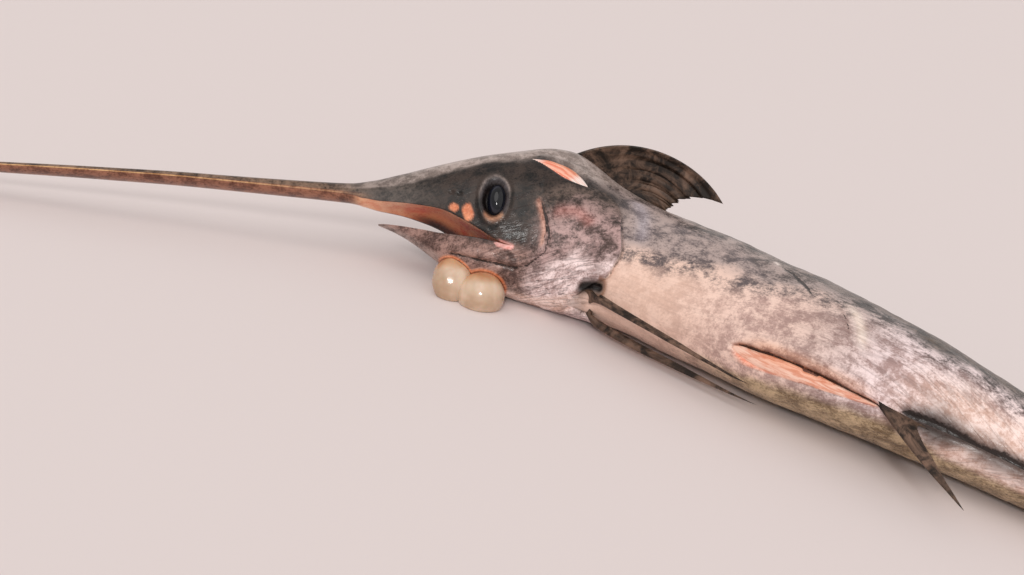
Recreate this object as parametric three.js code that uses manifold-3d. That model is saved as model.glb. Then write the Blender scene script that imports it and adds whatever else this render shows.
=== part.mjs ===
// A swordfish at life size, a still model of a fish that lies at rest on its right side.
// Millimetres, +Z up. The fish lies on the plane z = 0, its bill towards -X, its tail towards +X.
// Places on the fish are stations: 0 at the tip of the lower jaw, 1 at the fork of the tail,
// and an angle round the body: 0 on the back, 90 on the left side, 180 on the belly.

import * as THREE from 'three';
import { mergeVertices } from 'three/addons/utils/BufferGeometryUtils.js';
import Module from 'manifold-3d';

const wasm = await Module();
wasm.setup();

// Driving dimensions
const bodyLength = 1500;
const billTip = -0.45;
const jointGap = 0.3;
const floorSink = 1.6;
const tailHeight = 58;
const tailRise = [0.72, 0.92];

// The outline of the body: station, back height, belly depth and half width, as parts of the length
const outline = [
  [-0.45, 0.0026, 0.0022, 0.004],
  [-0.42, 0.0036, 0.003, 0.0075],
  [-0.3, 0.0052, 0.0038, 0.0105],
  [-0.15, 0.0078, 0.0045, 0.0118],
  [-0.05, 0.0112, 0.0046, 0.012],
  [0, 0.0143, 0.0056, 0.0118],
  [0.02, 0.0204, 0.0214, 0.0148],
  [0.05, 0.0346, 0.0288, 0.02],
  [0.125, 0.0612, 0.0713, 0.0415],
  [0.17, 0.0732, 0.0836, 0.0488],
  [0.2, 0.081, 0.088, 0.0518],
  [0.222, 0.0845, 0.0882, 0.0535],
  [0.26, 0.0825, 0.087, 0.055],
  [0.32, 0.082, 0.085, 0.055],
  [0.4, 0.084, 0.0868, 0.0553],
  [0.5, 0.0895, 0.0935, 0.055],
  [0.6, 0.0813, 0.086, 0.052],
  [0.7, 0.0593, 0.0613, 0.0432],
  [0.8, 0.04, 0.041, 0.034],
  [0.9, 0.0253, 0.0253, 0.024],
  [0.94, 0.021, 0.021, 0.02],
  [1, 0.021, 0.021, 0.012],
];

// The bill bows a little: how high the middle of its section lies over the spine
const billBow = [
  [-0.45, -0.006],
  [-0.35, -0.0005],
  [-0.25, 0.0035],
  [-0.15, 0.0058],
  [0, 0.0056],
  [0.06, 0],
  [1, 0],
];

// The pose, in degrees: how far the spine turns, how far the head dips, how far the fish rolls over
const headTurn = 6.8;
const trunkTurn = -32.2;
const tailTurn = -34.2;
const tailBend = [0.5, 1];
const neck = [0.16, 0.35];
const headDip = 4.2;
const dipEnds = [0.13, 0.24];
const headRoll = 40;
const trunkRoll = 78.3;
const bellyRoll = 101.5;
const tailRoll = 96;
const twist = [0.17, 0.31, 0.7];
const headStation = 0.125;
const chinStation = 0.185;

// Where the body is parted into its lengths
const billRoot = 0.0;
const headEnd = 0.245;
const trunkCuts = [0.42, 0.6, 0.8];
const tailStemStart = 0.885;

// The mouth: stations with the height of the upper lip and of the jaw's upper edge
const mouthLine = [
  [-0.012, -0.006, -0.03],
  [0.004, -0.002, -0.0205],
  [0.012, 0.001, -0.0205],
  [0.03, -0.0013, -0.0215],
  [0.05, -0.0022, -0.0238],
  [0.078, -0.006, -0.029],
  [0.093, -0.0095, -0.0323],
  [0.113, -0.0188, -0.035],
  [0.133, -0.0296, -0.0372],
  [0.15, -0.0385, -0.0405],
  [0.168, -0.0436, -0.0446],
];
const palateArch = 0.006;
const jawSag = 0.3;
const mouthReach = 90;

// The cut that parts the jaw from the head: its station and height, its lean in degrees and its size
const jawCutPlace = [0.166, -0.043];
const jawCutLean = -14;
const jawCutSize = [260, 180];

// The eye: its station and height, and the half sizes of ball and rim along, up and across
const eyeStation = 0.144;
const eyeHeight = 0.003;
const eyeBall = [18, 26, 17];
const eyeDepth = 13;
const eyeRim = [25, 37];
const rimThickness = 5;
const rimDepth = 1.5;

// The gill covers: angle, front fold and rear edge, as stations
const gillLine = [
  [70, 0.19, 0.232],
  [85, 0.19, 0.272],
  [110, 0.204, 0.293],
  [134, 0.186, 0.311],
  [150, 0.176, 0.31],
  [166, 0.19, 0.28],
];
const gillCoverDepth = 9;
const gillCoverStep = 4.5;

// The nostrils, two small pits in front of each eye: station, angle
const nostrils = [[0.1, 80], [0.108, 82]];
const nostrilSize = [4, 2.6, 4];

// The lips: rounded rims along both edges of the mouth
const lipEnds = [0.03, 0.163];
const lipRadius = 3.2;

// The bared throat: two lobes, each with its place and half sizes along, up and across
const throatStation = 0.13;
const throatLobes = [
  { place: [-30, -112, 10], size: [30, 36, 28] },
  { place: [16, -132, 18], size: [36, 34, 34] },
];

// The slit over the gill cover and the cut in the belly: station and angle of both ends, width and depth
const slitEnds = [[0.178, 48], [0.238, 72]];
const slitHalfAngle = 5;
const slitDepth = 14;

const bellyCutEnds = [[0.462, 168], [0.59, 178]];
const bellyCutHalfAngle = 4;
const bellyCutDepth = 16;

// The keels: the stations of their ends, and the half thickness at the root and at the edge
const keelEnds = [0.895, 0.995];
const keelHalf = [6.5, 1.5];
const keelLeast = 4;

// The station where the tail lobes grow from the tail stem
const tailRootStation = 0.985;

const up = new THREE.Vector3(0, 0, 1);
const radians = THREE.MathUtils.degToRad;

function vector(x, y, z) {
  return new THREE.Vector3(x, y, z);
}

function ease(start, end, x) {
  const t = THREE.MathUtils.clamp((x - start) / (end - start), 0, 1);
  return t * t * (3 - 2 * t);
}

// A smooth curve through points that never swings past them
function smoothCurve(xs, ys) {
  const last = xs.length - 1;
  const slopes = xs.slice(1).map((x, i) => (ys[i + 1] - ys[i]) / (x - xs[i]));
  const tangents = ys.map((y, i) => {
    if (i === 0) return slopes[0];
    if (i === last) return slopes[last - 1];
    const product = slopes[i - 1] * slopes[i];
    return product <= 0 ? 0 : (2 * product) / (slopes[i - 1] + slopes[i]);
  });
  return (x) => {
    const place = THREE.MathUtils.clamp(x, xs[0], xs[last]);
    let i = 0;
    while (i < last - 1 && place > xs[i + 1]) i += 1;
    const width = xs[i + 1] - xs[i];
    const t = (place - xs[i]) / width;
    const start = ys[i] * (1 + 2 * t) * (1 - t) ** 2 + tangents[i] * width * t * (1 - t) ** 2;
    const end = ys[i + 1] * t * t * (3 - 2 * t) - tangents[i + 1] * width * t * t * (1 - t);
    return start + end;
  };
}

function column(table, index, scale) {
  return smoothCurve(table.map((row) => row[0]), table.map((row) => row[index] * scale));
}

const backHeight = column(outline, 1, bodyLength);
const bellyDepth = column(outline, 2, bodyLength);
const halfWidth = column(outline, 3, bodyLength);
const bowHeight = column(billBow, 1, bodyLength);

function turnAt(s) {
  const atNeck = headTurn + (trunkTurn - headTurn) * ease(neck[0], neck[1], s);
  return radians(atNeck + (tailTurn - trunkTurn) * ease(tailBend[0], tailBend[1], s));
}

function dipAt(s) {
  return radians(headDip * (1 - ease(dipEnds[0], dipEnds[1], s)));
}

function rollAt(s) {
  const atTrunk = headRoll + (trunkRoll - headRoll) * ease(twist[0], twist[1], s);
  const atBelly = atTrunk + (bellyRoll - trunkRoll) * ease(twist[1], twist[2], s);
  return radians(atBelly + (tailRoll - bellyRoll) * ease(twist[2], 1, s));
}

// The height of the spine at which the body, or the keel of the tail, just meets the floor
function restHeight(s) {
  const high = backHeight(s);
  const low = bellyDepth(s);
  const roll = rollAt(s);
  const reach = Math.hypot(((high + low) / 2) * Math.cos(roll), halfWidth(s) * Math.sin(roll));
  const body = reach - ((high - low) / 2) * Math.cos(roll);
  return body + (tailHeight - body) * ease(tailRise[0], tailRise[1], s) - floorSink;
}

// The spine is followed in small steps from the bill to the tail
const spineSteps = 580;
const spineStep = (1 - billTip) / spineSteps;
const spine = [vector(0, 0, 0)];
for (let i = 0; i < spineSteps; i += 1) {
  const s = billTip + (i + 0.5) * spineStep;
  const length = spineStep * bodyLength;
  const next = spine[i].clone();
  next.x += length * Math.cos(dipAt(s)) * Math.cos(turnAt(s));
  next.y += length * Math.cos(dipAt(s)) * Math.sin(turnAt(s));
  next.z += length * Math.sin(dipAt(s));
  spine.push(next);
}

function stepOf(s) {
  return (s - billTip) / spineStep;
}

const headPoint = spine[Math.round(stepOf(headStation))].clone();
const chinPoint = spine[Math.round(stepOf(chinStation))].clone();
spine.forEach((point, i) => {
  const s = billTip + i * spineStep;
  point.x -= headPoint.x;
  point.y -= headPoint.y;
  point.z = s < chinStation ? point.z - chinPoint.z + restHeight(chinStation) : restHeight(s);
});

function spineAt(s) {
  const place = THREE.MathUtils.clamp(stepOf(s), 0, spineSteps - 1e-6);
  const i = Math.floor(place);
  return spine[i].clone().lerp(spine[i + 1], place - i);
}

function axesAt(s) {
  const dip = dipAt(s);
  const turn = turnAt(s);
  const roll = rollAt(s);
  const along = vector(Math.cos(dip) * Math.cos(turn), Math.cos(dip) * Math.sin(turn), Math.sin(dip));
  const level = up.clone().cross(along).normalize();
  const lift = along.clone().cross(level);
  const dorsal = lift.clone().multiplyScalar(Math.cos(roll)).addScaledVector(level, Math.sin(roll));
  const left = lift.clone().multiplyScalar(Math.sin(roll)).addScaledVector(level, -Math.cos(roll));
  return { along, dorsal, left };
}

// A point in the fish's own directions, from the spine at a station
function bodyPoint(s, forward, height, side) {
  const { along, dorsal, left } = axesAt(s);
  return spineAt(s)
    .addScaledVector(along, forward)
    .addScaledVector(dorsal, height)
    .addScaledVector(left, side);
}

// A point on the skin, or off it by a distance along the skin's own normal in the section
function skinPoint(s, angle, off = 0) {
  const c = Math.cos(radians(angle));
  const n = Math.sin(radians(angle));
  const tall = c > 0 ? backHeight(s) : bellyDepth(s);
  const wide = halfWidth(s);
  const scale = off / Math.hypot(c * wide, n * tall);
  const height = bowHeight(s) + tall * c + c * wide * scale;
  return bodyPoint(s, 0, height, wide * n + n * tall * scale);
}

// Meshes and solids

function toSolid(geometry) {
  const bare = geometry.clone();
  bare.deleteAttribute('normal');
  bare.deleteAttribute('uv');
  const merged = mergeVertices(bare, 1e-4);
  const mesh = new wasm.Mesh({
    numProp: 3,
    vertProperties: new Float32Array(merged.attributes.position.array),
    triVerts: new Uint32Array(merged.index.array),
  });
  return new wasm.Manifold(mesh);
}

function fromGrid(points, triangles) {
  const geometry = new THREE.BufferGeometry();
  const flat = points.flatMap((point) => [point.x, point.y, point.z]);
  geometry.setAttribute('position', new THREE.Float32BufferAttribute(flat, 3));
  geometry.setIndex(triangles);
  return toSolid(geometry);
}

// Rings of points joined into a closed tube, with a point at each end
function ringSolid(rings, firstPoint, lastPoint) {
  const around = rings[0].length;
  const points = [firstPoint, ...rings.flat(), lastPoint];
  const end = points.length - 1;
  const triangles = [];
  const at = (ring, i) => 1 + ring * around + (i % around);
  for (let i = 0; i < around; i += 1) {
    triangles.push(0, at(0, i + 1), at(0, i));
    triangles.push(end, at(rings.length - 1, i), at(rings.length - 1, i + 1));
    for (let ring = 0; ring < rings.length - 1; ring += 1) {
      triangles.push(at(ring, i), at(ring, i + 1), at(ring + 1, i));
      triangles.push(at(ring, i + 1), at(ring + 1, i + 1), at(ring + 1, i));
    }
  }
  return fromGrid(points, triangles);
}

// Two sheets over the same grid, joined round their edges; both faces are split alike
function sheetSolid(front, back, columns, rows) {
  const points = [];
  for (const side of [front, back]) {
    for (let i = 0; i <= columns; i += 1) {
      for (let j = 0; j <= rows; j += 1) points.push(side(i, j));
    }
  }
  const face = (columns + 1) * (rows + 1);
  const at = (i, j) => i * (rows + 1) + j;
  const triangles = [];
  for (let i = 0; i < columns; i += 1) {
    for (let j = 0; j < rows; j += 1) {
      const corners = [at(i, j), at(i + 1, j), at(i + 1, j + 1), at(i, j + 1)];
      const [a, b, c, d] = corners;
      triangles.push(a, b, c, a, c, d);
      triangles.push(a + face, c + face, b + face, a + face, d + face, c + face);
    }
  }
  const edge = [];
  for (let i = 0; i < columns; i += 1) edge.push(at(i, 0));
  for (let j = 0; j < rows; j += 1) edge.push(at(columns, j));
  for (let i = columns; i > 0; i -= 1) edge.push(at(i, rows));
  for (let j = rows; j > 0; j -= 1) edge.push(at(0, j));
  edge.forEach((a, k) => {
    const b = edge[(k + 1) % edge.length];
    triangles.push(b, a, b + face, a, a + face, b + face);
  });
  const solid = fromGrid(points, triangles);
  return solid.volume() < 0 ? fromGrid(points, triangles.reverse()) : solid;
}

function largest(solid) {
  return solid.decompose().reduce((best, piece) => (piece.volume() > best.volume() ? piece : best));
}

function boxSolid(width, depth, height, placed) {
  return toSolid(new THREE.BoxGeometry(width, depth, height).applyMatrix4(placed));
}

function frameMatrix(s, forward = 0, height = 0, side = 0) {
  const { along, dorsal, left } = axesAt(s);
  return new THREE.Matrix4()
    .makeBasis(along, left.clone().negate(), dorsal)
    .setPosition(bodyPoint(s, forward, height, side));
}

function ellipsoid(s, [forward, height, side], [long, tall, wide], grow) {
  const ball = new THREE.SphereGeometry(1, 18, 12);
  ball.scale(long + grow, wide + grow, tall + grow);
  ball.applyMatrix4(frameMatrix(s, forward, height, side));
  return toSolid(ball);
}

function nostrilPit(s, angle) {
  const ball = new THREE.SphereGeometry(1, 8, 6);
  ball.scale(nostrilSize[0], nostrilSize[2], nostrilSize[1]);
  const { x, y, z } = skinPoint(s, angle);
  return toSolid(ball.applyMatrix4(frameMatrix(s).setPosition(x, y, z)));
}

// The body in one piece

const around = 28;

function stationsOf(parts) {
  const list = [];
  parts.forEach(([start, end, count]) => {
    for (let i = 0; i < count; i += 1) list.push(start + ((end - start) * i) / count);
  });
  list.push(parts[parts.length - 1][1]);
  return list;
}

const bodyStations = stationsOf([[-0.445, 0, 12], [0, 0.36, 30], [0.36, 0.9, 24], [0.9, 0.992, 4]]);

function bodySolid(off) {
  const rings = bodyStations.map((s) =>
    Array.from({ length: around }, (unused, i) => skinPoint(s, (360 * i) / around, off)));
  return ringSolid(rings, bodyPoint(billTip, -off, bowHeight(billTip), 0), bodyPoint(0.9999, off, 0, 0));
}

const body = bodySolid(0);
const bodyGrown = bodySolid(jointGap);

// The gap of the open mouth, from the arched palate down to the jaw
function mouthGap() {
  const stations = stationsOf([[mouthLine[0][0], 0.012, 3], [0.012, mouthLine[mouthLine.length - 1][0], 11]]);
  const lip = column(mouthLine, 1, bodyLength);
  const jaw = column(mouthLine, 2, bodyLength);
  const rows = 6;
  const side = (j) => mouthReach * (1 - (2 * j) / rows);
  const arch = (s, j) => {
    const across = side(j) / (halfWidth(s) * 0.9);
    return palateArch * bodyLength * Math.max(0, 1 - across * across) * ease(0.01, 0.05, s);
  };
  return sheetSolid(
    (i, j) => bodyPoint(stations[i], 0, lip(stations[i]) + arch(stations[i], j), side(j)),
    (i, j) => bodyPoint(stations[i], 0, jaw(stations[i]) + arch(stations[i], j) * jawSag, side(j)),
    stations.length - 1,
    rows,
  );
}

// A rounded rim that follows one edge of the mouth on one side; away is up or down from the gap
function lipRim(index, mirror, away) {
  const edge = column(mouthLine, index, bodyLength);
  const stations = stationsOf([[lipEnds[0], lipEnds[1], 11]]);
  const sides = 6;
  const centre = (s) => {
    const height = edge(s) + away * lipRadius * 0.6;
    const tall = height > 0 ? backHeight(s) : bellyDepth(s);
    const side = halfWidth(s) * Math.sqrt(Math.max(0.05, 1 - (height / tall) ** 2));
    return { height, side: mirror * (side - lipRadius * 0.45) };
  };
  const rings = stations.map((s) => {
    const { height, side } = centre(s);
    return Array.from({ length: sides }, (unused, i) => {
      const angle = (2 * Math.PI * i) / sides;
      return bodyPoint(s, 0, height + lipRadius * Math.cos(angle), side + lipRadius * Math.sin(angle));
    });
  });
  const end = (s, forward) => {
    const { height, side } = centre(s);
    return bodyPoint(s, forward, height, side);
  };
  return ringSolid(rings, end(lipEnds[0], -lipRadius), end(lipEnds[1], lipRadius));
}

// The cut that parts the jaw from the head, behind the corner of the mouth
function jawCut() {
  const [wide, deep] = jawCutSize;
  const place = frameMatrix(jawCutPlace[0], 0, jawCutPlace[1] * bodyLength, 0);
  place.multiply(new THREE.Matrix4().makeRotationY(radians(jawCutLean)));
  place.multiply(new THREE.Matrix4().makeTranslation(0, 0, 2 - deep / 2));
  return boxSolid(jointGap, wide, deep, place);
}

function sectionCut(s, size) {
  return boxSolid(jointGap, size, size, frameMatrix(s));
}

// A plate or pocket in the skin, between an inner and an outer distance from it
function skinPlate(place, inner, outer, grow, columns, rows) {
  const at = (i, j, off) => {
    const { s, angle } = place(i / columns, j / rows, grow);
    return skinPoint(s, angle, off);
  };
  return sheetSolid(
    (i, j) => at(i, j, outer(i / columns, j / rows) + grow),
    (i, j) => at(i, j, -inner - grow),
    columns,
    rows,
  );
}

function gillCover(mirror, grow) {
  const front = column(gillLine, 1, 1);
  const rear = column(gillLine, 2, 1);
  const first = gillLine[0][0];
  const last = gillLine[gillLine.length - 1][0];
  const place = (u, v, extra) => {
    const angle = first + (last - first) * v + Math.sign(v - 0.5) * extra * 0.6;
    const reach = extra / bodyLength;
    const s = front(angle) - reach + (rear(angle) - front(angle) + 2 * reach) * u;
    return { s, angle: mirror * angle };
  };
  const step = (u) => 0.4 + gillCoverStep * ease(0, 1, u);
  return skinPlate(place, gillCoverDepth, step, grow, 9, 12);
}

// A long pocket with pointed ends, sunk into the skin
function pocket(ends, halfAngle, depth, mirror) {
  const [[s0, a0], [s1, a1]] = ends;
  const place = (u, v) => {
    const wide = halfAngle * Math.sin(Math.PI * (0.04 + 0.92 * v));
    const angle = a0 + (a1 - a0) * v + (2 * u - 1) * wide;
    return { s: s0 + (s1 - s0) * v, angle: mirror * angle };
  };
  return skinPlate(place, depth, () => 6, 0, 2, 10);
}

// The raised rim round an eye
function orbitRim(mirror) {
  const ring = new THREE.TorusGeometry(1, rimThickness / eyeRim[0], 6, 22);
  ring.scale(eyeRim[0], eyeRim[1], eyeRim[0] * 0.9);
  const side = mirror * (halfWidth(eyeStation) - rimDepth);
  const place = frameMatrix(eyeStation, 0, eyeHeight * bodyLength, side);
  place.multiply(new THREE.Matrix4().makeRotationX(Math.PI / 2));
  return toSolid(ring.applyMatrix4(place));
}

function eye(mirror, grow) {
  const side = mirror * (halfWidth(eyeStation) - eyeDepth);
  return ellipsoid(eyeStation, [0, eyeHeight * bodyLength, side], eyeBall, grow);
}

function throat(grow) {
  const [first, second] = throatLobes.map((lobe) => ellipsoid(throatStation, lobe.place, lobe.size, grow));
  return first.add(second);
}

// Fins: each ray is shorter than the one before it, so that the rear edge is hollow

function rayLength(fin, u) {
  return fin.length * (1 - u) ** fin.hollow + fin.shortest;
}

// Rays that leave a root line and bend as arcs in the fin's own plane, with a droop aside from it
function arcBlade(fin) {
  const { along, dorsal, left } = axesAt(fin.frame);
  const outward = dorsal.clone().multiplyScalar(Math.cos(radians(fin.lean)));
  outward.addScaledVector(left, Math.sin(radians(fin.lean)));
  const aside = along.clone().cross(outward);
  return (u, v) => {
    const length = rayLength(fin, u);
    const start = radians(fin.rise[0] + (fin.rise[1] - fin.rise[0]) * u);
    const bend = radians(fin.bend[0] + (fin.bend[1] - fin.bend[0]) * u);
    const forward = (length * (Math.sin(start + bend * v) - Math.sin(start))) / bend;
    const outwards = (length * (Math.cos(start) - Math.cos(start + bend * v))) / bend;
    return fin.root(u)
      .addScaledVector(along, forward)
      .addScaledVector(outward, outwards)
      .addScaledVector(aside, fin.droop * ((v * length) / fin.length) ** 2);
  };
}

// Rays that lie back along the belly, standing off from its skin
function laidBlade(fin) {
  return (u, v) => {
    const reach = rayLength(fin, u) * v;
    const s = fin.start + (fin.rootChord * u + reach) / bodyLength;
    const angle = fin.angle + fin.rootSpread * u * (1 - v) + fin.sweep * (reach / fin.length);
    const clear = fin.clearance * ease(0, 0.16, v) - fin.sink * (1 - ease(0, 0.16, v));
    const fan = fin.fan * (1 - u) * Math.sin(Math.PI * v ** 0.8);
    return skinPoint(s, angle, clear + fan + fin.lift * (reach / fin.length) ** 1.5);
  };
}

function finSolid(fin) {
  const { columns, rows, blade } = fin;
  const middle = (i, j) => blade(i / columns, j / rows);

  const normal = (i, j) => {
    const a = middle(Math.min(i + 1, columns), j).sub(middle(Math.max(i - 1, 0), j));
    const b = middle(i, Math.min(j + 1, rows)).sub(middle(i, Math.max(j - 1, 0)));
    return a.cross(b).normalize();
  };

  // Every second column is a fin ray, raised out of the membrane on both faces
  const halfThickness = (i, j) => {
    const v = j / rows;
    const membrane = (fin.rootThickness + (fin.edgeThickness - fin.rootThickness) * v ** 0.6) / 2;
    const ray = i % 2 === 1 ? fin.rayRise * (1 - 0.5 * v) : 0;
    return membrane + ray;
  };

  return sheetSolid(
    (i, j) => middle(i, j).addScaledVector(normal(i, j), halfThickness(i, j)),
    (i, j) => middle(i, j).addScaledVector(normal(i, j), -halfThickness(i, j)),
    columns,
    rows,
  );
}

const finDefaults = {
  lean: 0,
  droop: 0,
  columns: 14,
  rows: 7,
  rootThickness: 8,
  edgeThickness: 1.2,
  rayRise: 1.1,
};

// A root line sunk under the skin, from one station and angle to another
function skinRoot([s0, angle0], [s1, angle1], sink) {
  return (u) => skinPoint(s0 + (s1 - s0) * u, angle0 + (angle1 - angle0) * u, -sink);
}

const fins = {
  dorsal_fin_first: {
    root: skinRoot([0.204, 0], [0.315, 0], 14),
    frame: 0.235,
    lean: 18.6,
    length: 280,
    shortest: 22,
    hollow: 2.1,
    rise: [50, 44],
    bend: [-99, -58],
  },
  dorsal_fin_second: {
    root: skinRoot([0.885, 0], [0.915, 0], 6),
    frame: 0.9,
    length: 42,
    shortest: 14,
    hollow: 1.4,
    rise: [55, 40],
    bend: [-30, -20],
    rootThickness: 5,
    rayRise: 0.6,
    columns: 6,
    rows: 4,
  },
  anal_fin_first: {
    root: skinRoot([0.58, 164], [0.636, 184], 12),
    frame: 0.61,
    lean: 223,
    length: 185,
    shortest: 13,
    hollow: 2.6,
    rise: [36, 30],
    bend: [-11, -10],
    columns: 12,
    rows: 6,
  },
  anal_fin_second: {
    root: skinRoot([0.872, 180], [0.902, 180], 6),
    frame: 0.89,
    lean: 180,
    length: 40,
    shortest: 14,
    hollow: 1.4,
    rise: [55, 40],
    bend: [-30, -20],
    rootThickness: 5,
    rayRise: 0.6,
    columns: 6,
    rows: 4,
  },
};

// The pectoral fins spread from a short root low on each side and lie back along the belly
const pectoral = {
  length: 300,
  shortest: 24,
  hollow: 1.3,
  columns: 10,
  start: 0.28,
  rootChord: 26,
  clearance: 7,
  sink: 8,
};

fins.pectoral_fin_left = {
  ...pectoral, angle: 167, rootSpread: 13, sweep: 14, fan: 12, lift: 34, laid: true,
};
fins.pectoral_fin_right = {
  ...pectoral, angle: 199, rootSpread: -8, sweep: 14, fan: 10, lift: 8, laid: true,
};

// The two lobes of the tail fin grow from the end of the tail stem
function tailLobe(mirror) {
  return {
    root: (u) => bodyPoint(tailRootStation, 0, mirror * backHeight(tailRootStation) * (0.86 - 0.84 * u), 0),
    frame: tailRootStation,
    lean: mirror > 0 ? 0 : 180,
    length: 285,
    shortest: 60,
    hollow: 1.7,
    rise: [50, 6],
    bend: [16, 2],
    rootThickness: 13,
    rayRise: 1.5,
    columns: 14,
  };
}

fins.caudal_fin_upper = tailLobe(1);
fins.caudal_fin_lower = tailLobe(-1);

// The keels: broad ridges on both sides of the tail stem
function keel(mirror) {
  const columns = 12;
  const rows = 4;
  const s = (i) => keelEnds[0] + ((keelEnds[1] - keelEnds[0]) * i) / columns;
  const most = (i) => tailHeight - halfWidth(s(i)) - keelLeast;
  const reach = (i) => keelLeast + most(i) * Math.sin((Math.PI * i) / columns) ** 0.7;
  const point = (i, j, face) => {
    const v = j / rows;
    const side = halfWidth(s(i)) * 0.6 + (reach(i) + halfWidth(s(i)) * 0.4) * v;
    const half = keelHalf[0] + (keelHalf[1] - keelHalf[0]) * v ** 0.7;
    return bodyPoint(s(i), 0, face * half, mirror * side);
  };
  return sheetSolid((i, j) => point(i, j, 1), (i, j) => point(i, j, -1), columns, rows);
}

// Materials: colour, roughness and metalness of each kind of surface
function finish(colour, roughness, metalness = 0) {
  return { color: colour, roughness, metalness };
}

const backSkin = finish(0x4a4543, 0.45);
const flankSkin = finish(0x8d7f7a, 0.5);
const bellySkin = finish(0xb79f90, 0.5);
const cheekSkin = finish(0x7a6a68, 0.45);
const finSkin = finish(0x211d1b, 0.55);
const eyeGloss = finish(0x0c1220, 0.08);
const rawTissue = finish(0xc9a88a, 0.4);

// The nodes
const solids = [];

function add(name, solid, material) {
  solids.push({ name, solid, material });
}

const eyes = { left: 1, right: -1 };
let flesh = body;
for (const mirror of Object.values(eyes)) {
  flesh = flesh.add(orbitRim(mirror));
  flesh = flesh.add(lipRim(1, mirror, 1));
  flesh = flesh.add(lipRim(2, mirror, -1));
  for (const [s, angle] of nostrils) flesh = flesh.subtract(nostrilPit(s, mirror * angle));
  flesh = flesh.subtract(eye(mirror, jointGap));
  flesh = flesh.subtract(pocket(slitEnds, slitHalfAngle, slitDepth, mirror));
  flesh = flesh.subtract(gillCover(mirror, jointGap));
}
flesh = flesh.subtract(pocket(bellyCutEnds, bellyCutHalfAngle, bellyCutDepth, 1));
flesh = flesh.subtract(mouthGap());
flesh = flesh.subtract(throat(jointGap));
flesh = flesh.subtract(jawCut());
flesh = flesh.subtract(sectionCut(billRoot, 90));
flesh = flesh.subtract(sectionCut(headEnd, 420));
for (const s of [...trunkCuts, tailStemStart]) flesh = flesh.subtract(sectionCut(s, 420));

// The lengths are told apart by where they lie along the spine
const lengthNames = [
  ['bill', bodyPoint(-0.2, 0, 0, 0)],
  ['head', bodyPoint(0.1, 0, 0.03 * bodyLength, 0)],
  ['lower_jaw', bodyPoint(0.08, 0, -0.034 * bodyLength, 0)],
  ['trunk_front', spineAt(0.32)],
  ['trunk_middle', spineAt(0.5)],
  ['trunk_rear', spineAt(0.7)],
  ['tail_stem_front', spineAt(0.84)],
  ['tail_stem', spineAt(0.95)],
];

function centreOf(solid) {
  const { min, max } = solid.boundingBox();
  return vector(min[0] + max[0], min[1] + max[1], min[2] + max[2]).multiplyScalar(0.5);
}

const pieces = flesh.decompose().sort((a, b) => b.volume() - a.volume());
const skinOf = {
  bill: backSkin, head: backSkin, lower_jaw: cheekSkin, trunk_front: bellySkin, trunk_middle: flankSkin,
  trunk_rear: flankSkin, tail_stem_front: backSkin, tail_stem: backSkin,
};
for (const [name, point] of lengthNames) {
  const nearest = pieces.slice(0, lengthNames.length).reduce((best, piece) =>
    (centreOf(piece).distanceTo(point) < centreOf(best).distanceTo(point) ? piece : best));
  add(name, nearest, skinOf[name]);
}

for (const [side, mirror] of Object.entries(eyes)) {
  add(`eye_${side}`, eye(mirror, 0), eyeGloss);
  add(`gill_cover_${side}`, gillCover(mirror, 0), cheekSkin);
  add(`keel_${side}`, keel(mirror).subtract(bodyGrown), backSkin);
}
add('throat', throat(0), rawTissue);
const gillsGrown = gillCover(1, jointGap).add(gillCover(-1, jointGap));
for (const [name, fin] of Object.entries(fins)) {
  const whole = { ...finDefaults, ...fin };
  whole.blade = whole.laid ? laidBlade(whole) : arcBlade(whole);
  add(name, finSolid(whole).subtract(bodyGrown).subtract(gillsGrown), finSkin);
}

// Nothing reaches below the floor
const below = boxSolid(6000, 6000, 1000, new THREE.Matrix4().makeTranslation(0, 0, -500));

function meshOf(name, solid, material) {
  const mesh = largest(solid.subtract(below)).getMesh();
  const geometry = new THREE.BufferGeometry();
  geometry.setAttribute('position', new THREE.Float32BufferAttribute(mesh.vertProperties, 3));
  geometry.setIndex(new THREE.Uint32BufferAttribute(mesh.triVerts, 1));
  const part = new THREE.Mesh(geometry, new THREE.MeshStandardMaterial(material));
  part.name = name;
  return part;
}

const swordfish = new THREE.Group();
for (const { name, solid, material } of solids) swordfish.add(meshOf(name, solid, material));

// The origin is at the middle of the floor under the fish
const box = new THREE.Box3().setFromObject(swordfish);
swordfish.position.set(-(box.min.x + box.max.x) / 2, -(box.min.y + box.max.y) / 2, -box.min.z);

export default swordfish;
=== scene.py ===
"""A swordfish at life size, caught and wet, lying on its right side with its mouth ajar.

Metres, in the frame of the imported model. Places on the fish are stations along its spine: 0 at the tip
of the lower jaw and 1 at the fork of the tail. Angles go round the body: 0 on the back, 90 on the left
side, 180 on the belly and 270 on the right side.
"""

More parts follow.
